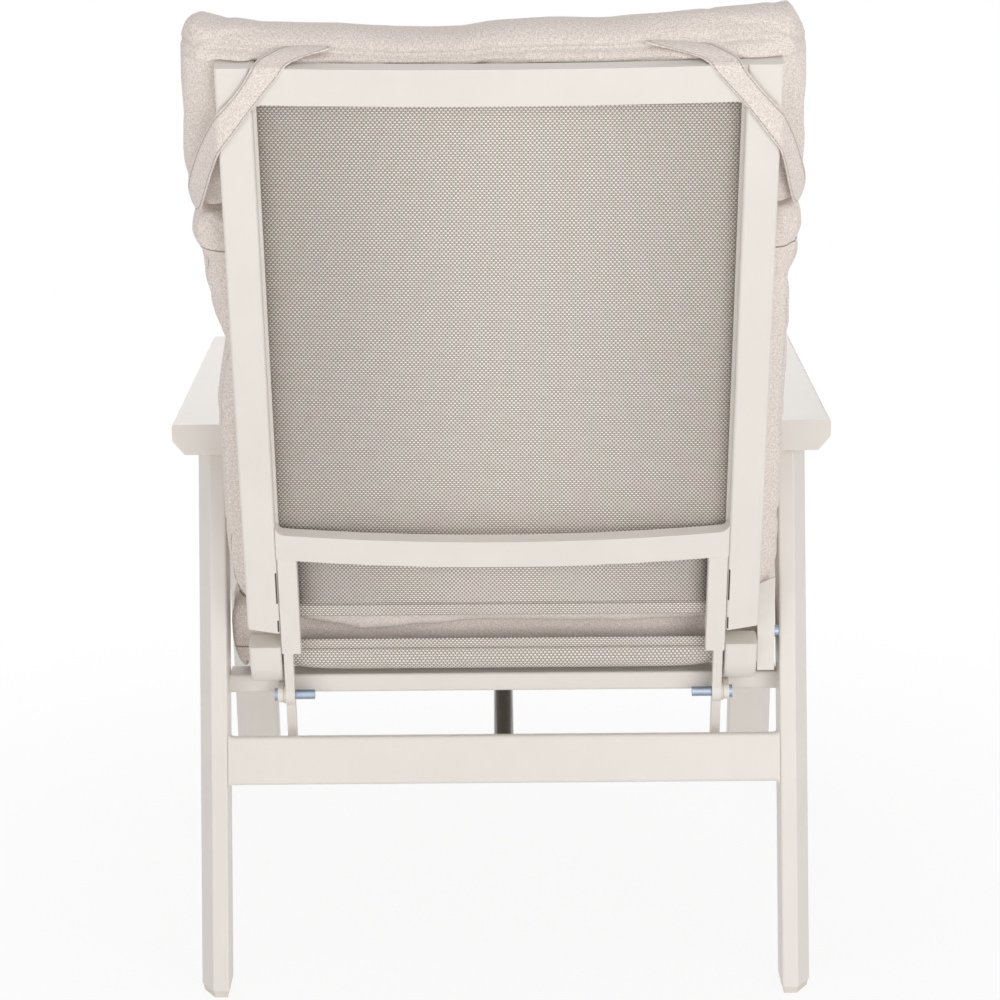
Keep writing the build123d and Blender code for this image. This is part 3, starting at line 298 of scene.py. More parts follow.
def fabricFinish(name, seams=(), stitched=False):
    # plain weave of mixed light and dark threads; each seam is a dark line given by its own signal, in the thread's
    # colour and partly painted shade of the seam's groove
    look = fabricLook
    finish = Finish(name, Roughness=0.92, Specular_IOR_Level=0.2, Sheen_Weight=0.2, Sheen_Roughness=0.5)
    a, b, _ = finish.axes(finish.node("UVMap", {"uv_map": "cloth"}))
    warp = finish.grain(finish.joined(a, b * 0.30), look["yarn"], 1.0)
    weft = finish.grain(finish.joined(a * 0.30, b, 0.7), look["yarn"], 1.0)
    over = a.wave(look["pitch"]) * b.wave(look["pitch"])
    cross = over.step(-0.6, 0.6)
    thread = warp * cross + weft * (1 - cross)
    colour = finish.mixed(thread.step(0.36, 0.64), look["dark"], look["light"])
    fleck = finish.grain(finish.joined(a, b, 0.3), look["slub"], 2.0, 0.7)
    colour = finish.mixed(fleck.step(0.58, 0.76) * 0.42, colour, look["fleck"])
    colour = finish.mixed(fleck.step(0.42, 0.26) * 0.5, colour, look["pale"])
    soft = finish.grain(finish.place(), 7.0, 2.0)
    colour = finish.mixed(soft.step(0.3, 0.75) * 0.08, colour, look["dark"])
    height = over * over * 0.5 + thread * 0.5
    # each seam's dark line: its thread and painted shade in its groove, with the groove also pressed into the relief
    for make in seams:
        mark = make(finish)
        colour = finish.mixed(mark * 0.8, colour, look["thread"])
        height = height - mark * look["seamDeep"]
    if stitched:
        row = finish.size(a).line(look["stitch"], look["stitchHalf"])
        dashes = b.wave(look["stitchPitch"]).step(-0.9, 0.4)
        colour = finish.mixed(row * (dashes * 0.35 + 0.2), colour, look["thread"])
        height = height - row * look["stitchDeep"]
    finish.feed("Base Color", colour)
    finish.relief(height, 0.0004, 0.9)
    return finish.material


# the dark tone for the openings between the threads is painted shade
meshLook = {
    "dash": tone(255, 253, 249), "thread": tone(192, 178, 167), "shadedGap": tone(84, 70, 60),
    "period": 0.00428, "row": 0.00254, "stitchHalf": 0.0011, "stitchPitch": 0.0034, "stitchDeep": 1.2,
}


def meshFinish(name, stitches=()):
    # coated mesh: light dashes in brick order on taupe threads, with painted shade in the openings between them
    look = meshLook
    finish = Finish(name, Roughness=0.6, Specular_IOR_Level=0.35)
    a, b, _ = finish.axes(finish.node("UVMap", {"uv_map": "cloth"}))
    rows = b.wave(2 * look["row"])
    turned = a.wave(look["period"]) * rows.maths("SIGN", rows)
    dash = turned.step(-0.45, 0.15) * finish.size(rows).step(0.34, 0.70)
    # painted shade: dark spots where the openings between the threads are, on the solid sheet
    shadedGap = (a.wave(look["period"] / 2) * b.wave(look["row"])).step(-0.1, -0.75)
    uneven = finish.grain(finish.place(), 55.0, 2.0)
    colour = finish.mixed(shadedGap * 0.9, look["thread"], look["shadedGap"])
    colour = finish.mixed(dash * (uneven * 0.2 + 0.88), colour, look["dash"])
    height = dash - shadedGap * 0.5
    for place in stitches:
        row = b.line(place, look["stitchHalf"])
        stitch = row * a.wave(look["stitchPitch"]).step(-0.6, 0.2)
        # painted shade along each stitch row, in the openings' dark tone, under thread-coloured stitches
        colour = finish.mixed(row * 0.6, colour, look["shadedGap"])
        colour = finish.mixed(stitch * 0.55, colour, look["thread"])
        height = height - row * look["stitchDeep"]
    finish.feed("Base Color", colour)
    finish.relief(height, 0.0005, 0.8)
    return finish.material


def metalFinish(name, colour, rough, metal, coat=0.0, scratch=0.0):
    finish = Finish(name, Metallic=metal, Coat_Weight=coat, Coat_Roughness=0.08)
    where = finish.place()
    x, y, z = finish.axes(where)
    lines = finish.grain(finish.joined(x * 8.0, y, z), 160.0, 3.0)
    stain = finish.grain(where, 60.0, 3.0)
    finish.feed("Base Color", finish.mixed(stain.step(0.35, 0.7), dull(colour, 0.88), colour))
    finish.feed("Roughness", lines * scratch + rough)
    finish.relief(lines, 0.00004, 0.4)
    return finish.material


blackGloss = metalFinish("blackGloss", colour=tone(58, 48, 40), rough=0.18, metal=0.0, coat=0.8, scratch=0.06)
chromeRod = metalFinish("chromeRod", colour=tone(222, 222, 222), rough=0.08, metal=1.0, scratch=0.05)
zincSteel = metalFinish("zincSteel", colour=tone(176, 190, 208), rough=0.28, metal=0.9, scratch=0.2)
print("metal and paint finishes made")

slotLooks = {
    "cream_paint": creamPaint, "cream_plastic": creamPlastic, "black_gloss": blackGloss,
    "chrome_rod": chromeRod, "zinc_steel": zincSteel,
}
for row in frame["record"]["subparts"]:
    look = slotLooks.get(row["material_slot"])
    if look:
        coat(nodes[row["node"]], look)
        take(nodes[row["node"]])
        bpy.ops.object.shade_smooth_by_angle(angle=radians(28))
# the back rails take the paint with the painted shade along their open seams
for node in ("left_back_rail", "right_back_rail"):
    coat(nodes[node], creamPaintSlitShade)
print("finishes laid on the frame's nodes")


# what the three cushions share
cushionLook = {
    "pressure": 4.0, "stiff": 12.0, "bend": 0.4, "quality": 4, "frames": 20, "cap": 0.007, "seamDepth": 0.0024,
    # a seam's groove and the puckers beside it, on the edges where two panels meet
    "edgeFrom": 0.80, "edgeTo": 0.97, "groove": 0.0045, "pucker": 0.0012, "puckerOut": 0.0016, "puckerWide": 0.016,
    "wide": 9.0, "wideDepth": 0.0024, "fine": 24.0, "fineDepth": 0.0011,
}


def plump(piece, look):
    # remesh, blow up under a little pressure with the seams held, cap the motion
    finishWith(piece, "REMESH", mode="VOXEL", voxel_size=look["voxel"])
    mesh = piece.data
    rest = np.array([v.co for v in mesh.vertices])
    held = piece.vertex_groups.new(name="held")
    for v in mesh.vertices:
        share = look["grip"](v.co)
        if share > 0:
            held.add([v.index], share, "REPLACE")
    take(piece)
    cloth = piece.modifiers.new("plump", "CLOTH")
    cloth.settings.use_pressure = True
    cloth.settings.uniform_pressure_force = cushionLook["pressure"]
    cloth.settings.effector_weights.gravity = 0
    cloth.settings.quality = cushionLook["quality"]
    cloth.settings.tension_stiffness = cushionLook["stiff"]
    cloth.settings.compression_stiffness = cushionLook["stiff"]
    cloth.settings.bending_stiffness = cushionLook["bend"]
    cloth.settings.vertex_group_mass = "held"
    cloth.point_cache.frame_start, cloth.point_cache.frame_end = 1, cushionLook["frames"]
    for step in range(1, cushionLook["frames"] + 1):
        scene.frame_set(step)
    grown = piece.evaluated_get(bpy.context.evaluated_depsgraph_get())
    moved = np.array([v.co for v in grown.data.vertices])
    piece.modifiers.remove(cloth)
    scene.frame_set(1)
    shift = moved - rest
    length = np.linalg.norm(shift, axis=1, keepdims=True)
    shift *= np.minimum(1.0, cushionLook["cap"] / np.maximum(length, 1e-9))
    mesh.vertices.foreach_set("co", (rest + shift).ravel())
    piece.vertex_groups.clear()
    mesh.update()
    return piece


def dress(piece, look):
    # seams pulled in, small folds along them, and the flats where it rests
    finishWith(piece, "SUBSURF", levels=1, render_levels=1)
    mesh = piece.data
    if "shape" in look:
        shaped = look["shape"](np.array([v.co for v in mesh.vertices]))
        mesh.vertices.foreach_set("co", shaped.ravel())
        mesh.update()
    if "trace" in look:
        beside = mesh.attributes.new("seamGap", "FLOAT", "POINT")
        beside.data.foreach_set("value", [look["trace"](v.co) for v in mesh.vertices])
    normals = [v.normal.copy() for v in mesh.vertices]
    for v, n in zip(mesh.vertices, normals):
        co = v.co.copy()
        move = Vector((0, 0, 0))
        for seamPlace in look["seams"]:
            seamPlace = seamPlace(co) if callable(seamPlace) else seamPlace
            # in each cushion's own frame 0 is across, 1 is its depth and 2 its length
            near = abs(co[1] - seamPlace)
            edgeways = 1 - smooth(abs(n[1]), cushionLook["edgeFrom"], cushionLook["edgeTo"])
            pucker = noise.noise(Vector(((co[0] + co[2]) * 55, seamPlace * 90, 2.0)))
            deep = cushionLook["seamDepth"] + cushionLook["pucker"] * pucker
            move -= n * edgeways * deep * exp(-(near / cushionLook["groove"]) ** 2)
            move += n * edgeways * cushionLook["puckerOut"] * pucker * exp(-(near / cushionLook["puckerWide"]) ** 2)
        soft = noise.noise(co * cushionLook["wide"]) * cushionLook["wideDepth"]
        soft += noise.noise(co * cushionLook["fine"] + Vector((3, 1, 2))) * cushionLook["fineDepth"]
        move += n * soft
        move += look["folds"](co, n)
        co = co + move
        v.co = look["rest"](co)
    mesh.update()
    return piece


def inBackFrame(piece):
    piece.data.transform(backTurn.inverted())
    return piece


def placed(piece, turn):
    clothMap(piece)
    piece.data.transform(turn)
    piece.data.update()
    return settle(piece, 60)


headSeam = {"top": -0.0205, "side": -0.0600, "low": 0.712, "high": 0.738, "front": -0.1000}
sideLook = {
    # how far the cushions' sides stand out at each height, left and right
    1: (
        (0.10, 0.010), (0.165, 0.0105), (0.225, 0.0100), (0.285, 0.0068), (0.345, 0.0042), (0.38, -0.001),
        (0.41, -0.006), (0.44, 0.002), (0.47, 0.0065), (0.50, 0.0045), (0.53, 0.0135), (0.55, 0.012),
        (0.567, 0.006), (0.60, 0.003), (0.66, 0.0),
    ),
    -1: (
        (0.10, 0.014), (0.165, 0.0110), (0.225, 0.0098), (0.285, 0.0068), (0.345, 0.0055), (0.417, 0.005),
        (0.46, 0.001), (0.483, -0.001), (0.50, 0.0042), (0.534, 0.0075), (0.549, 0.007), (0.60, 0.002), (0.66, 0.0),
    ),
}
headLook = {
    "voxel": 0.006,
    "crown": {"base": 0.690, "top": 0.7443, "middle": 0.042, "bend": 6.0, "bulge": 0.0120, "seam": 0.7425},
    "rise": (
        (-0.300, 0.015), (-0.290, 0.0167), (-0.279, 0.0266), (-0.260, 0.0239), (-0.2165, 0.0185), (-0.152, 0.0125),
        (-0.105, 0.0084), (-0.049, 0.0076), (0.010, 0.0045), (0.035, 0.0), (0.100, -0.0004), (0.151, 0.0041),
        (0.228, 0.0072), (0.271, 0.0147), (0.286, 0.0194), (0.300, 0.020),
    ),
    # the rear panel's ledge over the rails, and creases as side, place and slope
    "slantEnd": 0.7305, "ledge": 0.7240, "ledgeOver": 0.0048, "ledgeSoft": 0.0027,
    "creases": ((1, 0.262, 0.55), (-1, -0.268, 0.7), (-1, -0.20, 1.1)), "creaseDepth": 0.0016, "creaseWide": 0.006,
}


def tabled(points, place):
    return float(np.interp(place, [p[0] for p in points], [p[1] for p in points]))


def headShape(points):
    # the top edge takes a drawn crown in place of the even one that the pressure gives
    crown = headLook["crown"]
    top = points[(abs(points[:, 0]) < 0.2) & (points[:, 2] > crown["base"])]
    places = np.arange(-0.125, -0.017, 0.004)
    reach = [top[abs(top[:, 1] - place) < 0.004, 2].max() for place in places]
    depth = -points[:, 1]
    wanted = crown["top"] - crown["bend"] * (np.clip(depth, 0.0185, 0.13) - crown["middle"]) ** 2
    scale = (wanted - crown["base"]) / (np.interp(points[:, 1], places, reach) - crown["base"])
    above = np.maximum(points[:, 2] - crown["base"], 0)
    points[:, 2] += above * (scale - 1)
    return points


def spreadSides(co):
    side = 1 if co[0] > 0 else -1
    return side * tabled(sideLook[side], co[2]) * smooth(abs(co[0]), 0.22, 0.285)


def headFolds(co, n):
    x, w, u = co
    rise = tabled(headLook["rise"], x) * (0.55 + 0.45 * smooth(-w, 0.020, 0.055))
    lift = smooth(u, 0.66, 0.735) * rise
    # over the rails the rear panel spills back and slants up to the seam
    seamU = headLook["crown"]["seam"] + lift
    slant = min(1.0, max(0.0, (seamU - u - lift) / (seamU - headLook["slantEnd"])))
    ledge = headLook["ledge"] + headLook["ledgeOver"] * smooth(abs(x), 0.224, 0.234)
    over = smooth(u + lift, ledge, ledge + headLook["ledgeSoft"])
    bulge = headLook["crown"]["bulge"] * over * slant * smooth(w, -0.036, -0.019)
    # creases that run in from the upper corners
    crease = 0.0
    for side, place, slope in headLook["creases"]:
        away = (x - place) - side * slope * (u - 0.735)
        crease -= headLook["creaseDepth"] * exp(-(away / headLook["creaseWide"]) ** 2) * smooth(u, 0.66, 0.73)
    return Vector((spreadSides(co), bulge, lift)) + n * crease


# flat against the rails, which end at side and top, and the sling, which ends at half and high
restLook = {
    "flat": -0.0183, "free": 0.006, "half": (0.226, 0.234), "side": (0.2705, 0.285),
    "top": (0.7290, 0.7312), "high": (0.7232, 0.7260),
}


def backRest(co):
    # held in front of the rails and the sling, free outside them
    inside = 1 - smooth(abs(co[0]), *restLook["half"])
    far = max(
        smooth(abs(co[0]), *restLook["side"]), 2 * smooth(co[2], *restLook["top"]),
        1.6 * inside * smooth(co[2], *restLook["high"]),
    )
    co[1] = min(co[1], restLook["flat"] + restLook["free"] * far)
    return co


seamGrip = 0.004


def gripSeams(look):
    def grip(co):
        best = min(abs(co[1] - (place(co) if callable(place) else place)) for place in look["seams"])
        return 1.0 if best < seamGrip and look["rim"](co) else 0.0
    return grip


def headSeamPlace(co):
    return headSeam["side"] + (headSeam["top"] - headSeam["side"]) * smooth(co[2], headSeam["low"], headSeam["high"])


def headTrace(co):
    # distance from the top seam's line, or well away from it below the seam
    return co[1] - headSeam["top"] if co[2] > headSeam["high"] - 0.004 else 0.05


headLook.update(
    seams=(headSeamPlace, headSeam["front"]), shape=headShape, trace=headTrace, folds=headFolds, rest=backRest,
    rim=lambda co: abs(co[0]) > 0.26 or co[2] > 0.70,
)
headLook["grip"] = gripSeams(headLook)

headCushion = dress(plump(inBackFrame(copyOfNode("head_cushion", "headCushion")), headLook), headLook)
placed(headCushion, backTurn)
print("head cushion sewn,", len(headCushion.data.polygons), "faces")

backLook = {
    "voxel": 0.006, "seams": (-0.0420, -0.0970),
    "rim": lambda co: abs(co[0]) > 0.245 or co[2] > 0.54 or co[2] < 0.13,
    "rest": backRest,
    # creases in from the sides, as height and depth
    "creases": ((0.515, 0.0030), (0.470, 0.0022), (0.405, 0.0016), (0.300, 0.0020), (0.190, 0.0024)), "creaseWide": 0.0085,
    # the height of the loose lip's lower edge across the back
    "lip": (
        (-0.262, 0.095), (-0.230, 0.073), (-0.211, 0.0690), (-0.10, 0.0700), (0.0, 0.0690), (0.06, 0.0660),
        (0.11, 0.0610), (0.151, 0.0575), (0.185, 0.0660), (0.217, 0.0750), (0.235, 0.0780), (0.262, 0.097),
    ),
    "lipTop": 0.1045, "lipBack": 0.007, "lipWave": 0.0030,
}


def backFolds(co, n):
    x, w, u = co
    side = smooth(abs(x), 0.24, 0.28)
    crease = 0.0
    for place, deep in backLook["creases"]:
        lean = (abs(w) - 0.06) * 0.45 * (1 if x > 0 else -1)
        crease -= deep * exp(-((u - place - lean) / backLook["creaseWide"]) ** 2)
    # the loose lip that hangs behind the seat cushion
    drop = (backLook["lipTop"] - tabled(backLook["lip"], x)) * smooth(w, -0.054, -0.036) * (1 - smooth(u, 0.106, 0.165))
    ripple = noise.noise(Vector((x * 22, u * 60, 4.0)))
    wave = backLook["lipWave"] * ripple * smooth(w, -0.045, -0.03) * (1 - smooth(u, 0.10, 0.13))
    rearward = backLook["lipBack"] * (1 - smooth(u, 0.100, 0.150)) * (1 - smooth(w, -0.030, -0.022))
    return n * (crease * side + wave) + Vector((spreadSides(co), rearward, -drop))


backLook["folds"] = backFolds
backLook["grip"] = gripSeams(backLook)
backCushion = dress(plump(inBackFrame(copyOfNode("back_cushion", "backCushion")), backLook), backLook)
placed(backCushion, backTurn)
print("back cushion sewn,", len(backCushion.data.polygons), "faces")

# the seat's frame: x across, h up from the rails, run forward
seatTurn = Matrix((
    (1, 0, 0, 0),
    (0, sin(seat["slope"]), -cos(seat["slope"]), seat["rearY"]),
    (0, cos(seat["slope"]), sin(seat["slope"]), seat["bottomZ"]),
    (0, 0, 0, 1),
))
sagLook = {"sling": 0.0135, "cushion": 0.0180, "half": 0.2345, "power": 12, "fadeFrom": 0.545, "fadeTo": 0.615}


def hang(x, depth):
    # how far the seat hangs between its rails
    return depth * max(0.0, 1 - (abs(x) / sagLook["half"]) ** sagLook["power"])


def sagFade(run):
    # the sag runs out towards the front
    return 1 - smooth(run, sagLook["fadeFrom"], sagLook["fadeTo"])


# the seat cushion's boxed sides, and how far it may reach sideways and down beside the rails
boxLook = {
    "side": 0.2940, "crown": 0.004, "middle": 0.034, "rise": 0.036, "taper": 0.014, "inner": 0.225,
    "floor": 0.0004, "below": 0.0200, "reach": 0.2944,
    # creases as run and depth, and the fall and squaring of the lower edge outside the rails
    "creases": ((0.030, 0.0016), (0.085, 0.0020), (0.560, 0.0018)), "creaseWide": 0.008,
    "fall": 0.021, "rearFall": 0.012, "square": 0.012,
}


def seatShape(points):
    # boxed sides that fill the room between the rails and the legs
    x, h, run = abs(points[:, 0]), points[:, 1], points[:, 2]
    long = (run > 0.06) & (run < 0.54)
    heights = np.arange(0.004, 0.070, 0.006)
    wide = [x[long & (abs(h - place) < 0.004)].max() for place in heights]
    level = (h > 0.02) & (h < 0.05)
    runs = np.arange(0.0, 0.612, 0.008)
    deep = [x[level & (abs(run - place) < 0.006)].max() for place in runs]
    now = np.interp(h, heights, wide) * np.interp(run, runs, deep) / max(wide)
    wanted = boxLook["side"] - boxLook["crown"] * np.clip(abs(h - boxLook["middle"]) / boxLook["rise"], 0, 1.1) ** 4
    wanted += boxLook["crown"] * np.clip(1 - run / 0.010, 0, 1) - boxLook["taper"] * np.clip((run - 0.585) / 0.03, 0, 1) ** 2
    scale = (wanted - boxLook["inner"]) / np.maximum(now - boxLook["inner"], 0.01)
    points[:, 0] += np.sign(points[:, 0]) * np.maximum(x - boxLook["inner"], 0) * (scale - 1)
    return points


def seatRest(co):
    x, h, run = co
    fade = sagFade(run)
    outside = smooth(abs(x), 0.2706, 0.2790)
    co[1] = max(h, boxLook["floor"] - hang(x, sagLook["cushion"]) * fade - boxLook["below"] * outside * fade)
    co[0] = min(boxLook["reach"], max(-boxLook["reach"], x))
    return co


def seatFolds(co, n):
    x, h, run = co
    crease = 0.0
    for place, deep in boxLook["creases"]:
        crease -= deep * exp(-((run - place - 0.3 * (h - 0.03)) / boxLook["creaseWide"]) ** 2)
    beside = boxLook["fall"] + boxLook["rearFall"] * (1 - smooth(run, 0.0, 0.025))
    fall = hang(x, sagLook["cushion"]) * (1 - smooth(h, 0.004, 0.040))
    fall += beside * smooth(abs(x), 0.2690, 0.2745) * (1 - smooth(h, 0.004, 0.030))
    rear = smooth(abs(x), 0.262, 0.274) * (1 - smooth(run, 0.004, 0.034))
    square = boxLook["square"] * rear * (1 - smooth(h, 0.004, 0.032))
    return n * crease * smooth(abs(x), 0.23, 0.27) + Vector((0, -fall * sagFade(run), -square))


seatLook = {
    "voxel": 0.0065, "seams": (0.0080, 0.0600), "rest": seatRest, "folds": seatFolds, "shape": seatShape,
    "rim": lambda co: abs(co[0]) > 0.24 or co[2] < 0.02 or co[2] > 0.59,
}
seatLook["grip"] = gripSeams(seatLook)
seatCushion = copyOfNode("seat_cushion", "seatCushion")
seatCushion.data.transform(seatTurn.inverted())
dress(plump(seatCushion, seatLook), seatLook)
placed(seatCushion, seatTurn)
print("seat cushion sewn,", len(seatCushion.data.polygons), "faces")

# masks for the seams' dark lines, which are partly painted shade of their grooves
seamHalf = 0.0009


def seamBehind(place):
    def make(finish):
        x, rise, depth = finish.backPlace()
        return depth.line(place, seamHalf)
    return make


def backSeamLine(finish):
    # the rear seam stops at the channel that is sewn across under the head cushion
    x, rise, depth = finish.backPlace()
    below = depth.line(backLook["seams"][0], seamHalf) * (1 - rise.step(0.516, 0.518))
    return below.maths("MAXIMUM", below, rise.line(0.5195, seamHalf) * depth.step(-0.085, -0.082))


def headSeamLine(finish):
    return finish.node("Attribute", {"attribute_name": "seamGap"}, output="Fac").line(0.0, seamHalf)


def seatSeam(place):
    def make(finish):
        upright = (0, sin(seat["slope"]), cos(seat["slope"]))
        return finish.along((0, seat["rearY"], seat["bottomZ"]), upright).line(place, seamHalf)
    return make


backFabric = fabricFinish("backFabric", [backSeamLine, seamBehind(backLook["seams"][1])])
headFabric = fabricFinish("headFabric", [headSeamLine, seamBehind(headSeam["front"])])
seatFabric = fabricFinish("seatFabric", [seatSeam(place) for place in seatLook["seams"]])
for piece, look, body, node in (
    (headCushion, headFabric, "backrest", "head_cushion"),
    (backCushion, backFabric, "backrest", "back_cushion"),
    (seatCushion, seatFabric, "frame", "seat_cushion"),
):
    coat(piece, look)
    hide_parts(node)
    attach(piece, body)


def growRibbon(name, stations):
    # a strip extruded station by station; each station is its two edge points
    bpy.ops.mesh.primitive_plane_add(size=1)
    piece = bpy.context.object
    piece.name = piece.data.name = name
    mesh = edit(piece)
    corners = sorted(mesh.verts, key=lambda v: (v.co.y, v.co.x))
    for v, place in zip(corners, (*stations[0], *stations[1])):
        v.co = place
    last = corners[2:]
    for low, high in stations[2:]:
        for e in mesh.edges:
            e.select = e.verts[0] in last and e.verts[1] in last
        for v in mesh.verts:
            v.select = v in last
        bpy.ops.mesh.extrude_edges_move(TRANSFORM_OT_translate={"value": Vector(low) - last[0].co})
        mesh = bmesh.from_edit_mesh(piece.data)
        last = sorted((v for v in mesh.verts if v.select), key=lambda v: (v.co - Vector(low)).length)
        last[0].co, last[1].co = low, high
    done(piece)
    return piece


def ribbonMap(piece, stations, fixedHalf=None):
    # cloth coordinates: across the strip and along its length
    layer = piece.data.uv_layers.get("cloth") or piece.data.uv_layers.new(name="cloth")
    runs = [0.0]
    middles = [(Vector(a) + Vector(b)) / 2 for a, b in stations]
    for a, b in zip(middles, middles[1:]):
        runs.append(runs[-1] + (b - a).length)
    known = {}
    for (a, b), run in zip(stations, runs):
        half = fixedHalf or (Vector(b) - Vector(a)).length / 2
        known[tuple(round(c, 5) for c in a)] = (-half, run)
        known[tuple(round(c, 5) for c in b)] = (half, run)
    for loop in piece.data.loops:
        co = piece.data.vertices[loop.vertex_index].co
        layer.data[loop.index].uv = known[tuple(round(c, 5) for c in co)]


strapLook = {
    "half": 0.0125, "thick": 0.0016, "bevel": 0.0005,
    # outer and inner edge at each station, as x, w, u, from the seam over the top rail and round the side rail
    "path": (
        ((0.2085, -0.0220, 0.7400), (0.1500, -0.0220, 0.7400)),
        ((0.2140, -0.0100, 0.7402), (0.1640, -0.0100, 0.7402)),
        ((0.2275, -0.0030, 0.7360), (0.1900, -0.0030, 0.7358)),
        ((0.2330, 0.0040, 0.7322), (0.2000, 0.0040, 0.7322)),
        ((0.2350, 0.0092, 0.7308), (0.2035, 0.0092, 0.7308)),
        ((0.2362, 0.0108, 0.7275), (0.2052, 0.0108, 0.7262)),
        ((0.2496, 0.0109, 0.7054), (0.2311, 0.0109, 0.6959)),
        ((0.2655, 0.0109, 0.6890), (0.2570, 0.0109, 0.6600)),
        ((0.2696, 0.0105, 0.6845), (0.2700, 0.0105, 0.6425)),
        ((0.2722, 0.0075, 0.6800), (0.2726, 0.0080, 0.6360)),
        ((0.2889, -0.0095, 0.6483), (0.2814, -0.0040, 0.6100)),
        ((0.3021, -0.0260, 0.6112), (0.2903, -0.0180, 0.5808)),
        ((0.3090, -0.0430, 0.5842), (0.2985, -0.0430, 0.5530)),
    ),
    # where a side leaves the path: side, edges, first and last station, how far in and up
    "moves": (
        (-1, (0, 1), 0, 5, 0.003, 0.0), (-1, (1,), 0, 1, 0.018, 0.004), (-1, (0, 1), 10, 10, 0.0025, 0.0),
        (-1, (0, 1), 11, 12, 0.0055, 0.0), (1, (0, 1), 11, 12, 0.0, -0.003),
    ),
}


def strapStations(side):
    # the right strap leaves the cushion further in and ends further in, the left one ends lower
    out = []
    for k, pair in enumerate(strapLook["path"]):
        edges = []
        for number, (x, w, u) in enumerate(pair):
            for which, moved, first, last, inward, higher in strapLook["moves"]:
                if which == side and number in moved and first <= k <= last:
                    x, u = x - inward, u + higher
            edges.append(onBack(side * x, u, w))
        out.append(tuple(edges))
    return out


strapFabric = fabricFinish("strapFabric", stitched=True)
for side, name, node in ((1, "leftCornerStrap", "left_corner_strap"), (-1, "rightCornerStrap", "right_corner_strap")):
    stations = strapStations(side)
    strap = growRibbon(name, stations)
    ribbonMap(strap, stations, strapLook["half"])
    finishWith(strap, "SUBSURF", levels=2, render_levels=2)
    settle(strap, 60)
    finishWith(strap, "SOLIDIFY", thickness=strapLook["thick"], offset=0.0)
    finishWith(strap, "BEVEL", width=strapLook["bevel"], segments=2)
    settle(strap, 50)
    coat(strap, strapFabric)
    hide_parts(node)
    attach(strap, "backrest")
print("corner straps laid over the rail")

slingLook = {
    "half": 0.2404, "thick": 0.0012, "rope": 0.0032, "w": -0.0125, "low": 0.093, "high": 0.722, "hem": 0.016,
    "seatHem": 0.012, "offset": 0.0075, "hookU": 0.063, "frontDrop": 0.038, "rows": 40,
    # a hem lies between the rails' lips, is a little thicker and has a middle row
    "hemHalf": 0.2323, "hemMiddle": 0.008, "hemExtra": 0.0010, "hemBevel": 0.0008, "hemStitch": 0.0015,
}
seatLine = {
    "rearCorner": (0.243087, 0.334621), "frontCorner": (-0.411, 0.386098), "rearRadius": 0.0215,
    "frontRadius": 0.0325, "dropAngle": radians(55.5), "start": (0.235735, 0.311516),
}


def hookPath(step=0.006):
    # the seat sling's line in y and z: down the hook, forward over the seat, down at the front
    lean, slope = back["lean"], seat["slope"]
    drop = seatLine["dropAngle"]
    dirs = [(-sin(lean), -cos(lean)), (-cos(slope), sin(slope)), (-cos(drop), -sin(drop))]
    start = seatLine["start"]
    begin = (start[0] + slingLook["hookU"] * sin(lean), start[1] + slingLook["hookU"] * cos(lean))
    rear, front = seatLine["rearCorner"], seatLine["frontCorner"]
    end = (front[0] + dirs[2][0] * slingLook["frontDrop"], front[1] + dirs[2][1] * slingLook["frontDrop"])
    marks = [begin, rear, front, end]
    bendSteps = 8
    out = []
    place = Vector(begin)
    for k, d in enumerate(dirs):
        d = Vector(d)
        n = Vector((d[1], -d[0]))
        finish = Vector(marks[k + 1])
        turn = 0.0
        if k < 2:
            after = Vector(dirs[k + 1])
            radius = seatLine["rearRadius"] if k == 0 else seatLine["frontRadius"]
            turn = d.angle(after)
            cut = radius * np.tan(turn / 2)
            finish = finish - d * cut
        length = (finish - place).length
        count = max(1, round(length / step))
        out += [place + (finish - place) * (i / count) + n * slingLook["offset"] for i in range(count)]
        if k < 2:
            inward = 1 if k == 0 else -1
            centre = finish + n * inward * radius
            reach = radius - inward * slingLook["offset"]
            for i in range(bendSteps):
                a = turn * i / bendSteps
                arm = (-n * inward) * cos(a) + d * sin(a)
                out.append(centre + arm * reach)
            place = Vector(marks[k + 1]) + after * cut
        else:
            out.append(finish + n * slingLook["offset"])
    return out


# the seat sling is cut lengthways here, closer where it bends most
slingCuts = (0.0, 0.05, 0.10, 0.14, 0.17, 0.19, 0.205, 0.216, 0.225, 0.2315)


def slingSag(co):
    # the seat sling hangs between its rails, but not at its hems
    local = backTurn.inverted() @ co
    share = (1 - smooth(local[2], 0.012, 0.050)) * (1 - smooth(-co[1], 0.335, 0.400))
    drop = hang(co[0], sagLook["sling"]) * share
    return co - Vector((0, sin(seat["slope"]), cos(seat["slope"]))) * drop


def makeSling(name, stations, finish, shape=None):
    piece = growRibbon(name, stations)
    ribbonMap(piece, stations)
    if shape:
        for cut in sorted({side * place for place in slingCuts for side in (1, -1)}):
            edit(piece)
            bpy.ops.mesh.select_all(action="SELECT")
            bpy.ops.mesh.bisect(plane_co=(cut, 0, 0), plane_no=(1, 0, 0))
            bpy.ops.object.mode_set(mode="OBJECT")
        for v in piece.data.vertices:
            v.co = shape(v.co)
        piece.data.update()
    settle(piece, 60)
    finishWith(piece, "SOLIDIFY", thickness=slingLook["thick"], offset=0.0)
    coat(piece, finish)
    return piece


def acrossBack(reach, heights):
    # stations across the back sling's plane
    return [(onBack(-reach, u, slingLook["w"]), onBack(reach, u, slingLook["w"])) for u in heights]


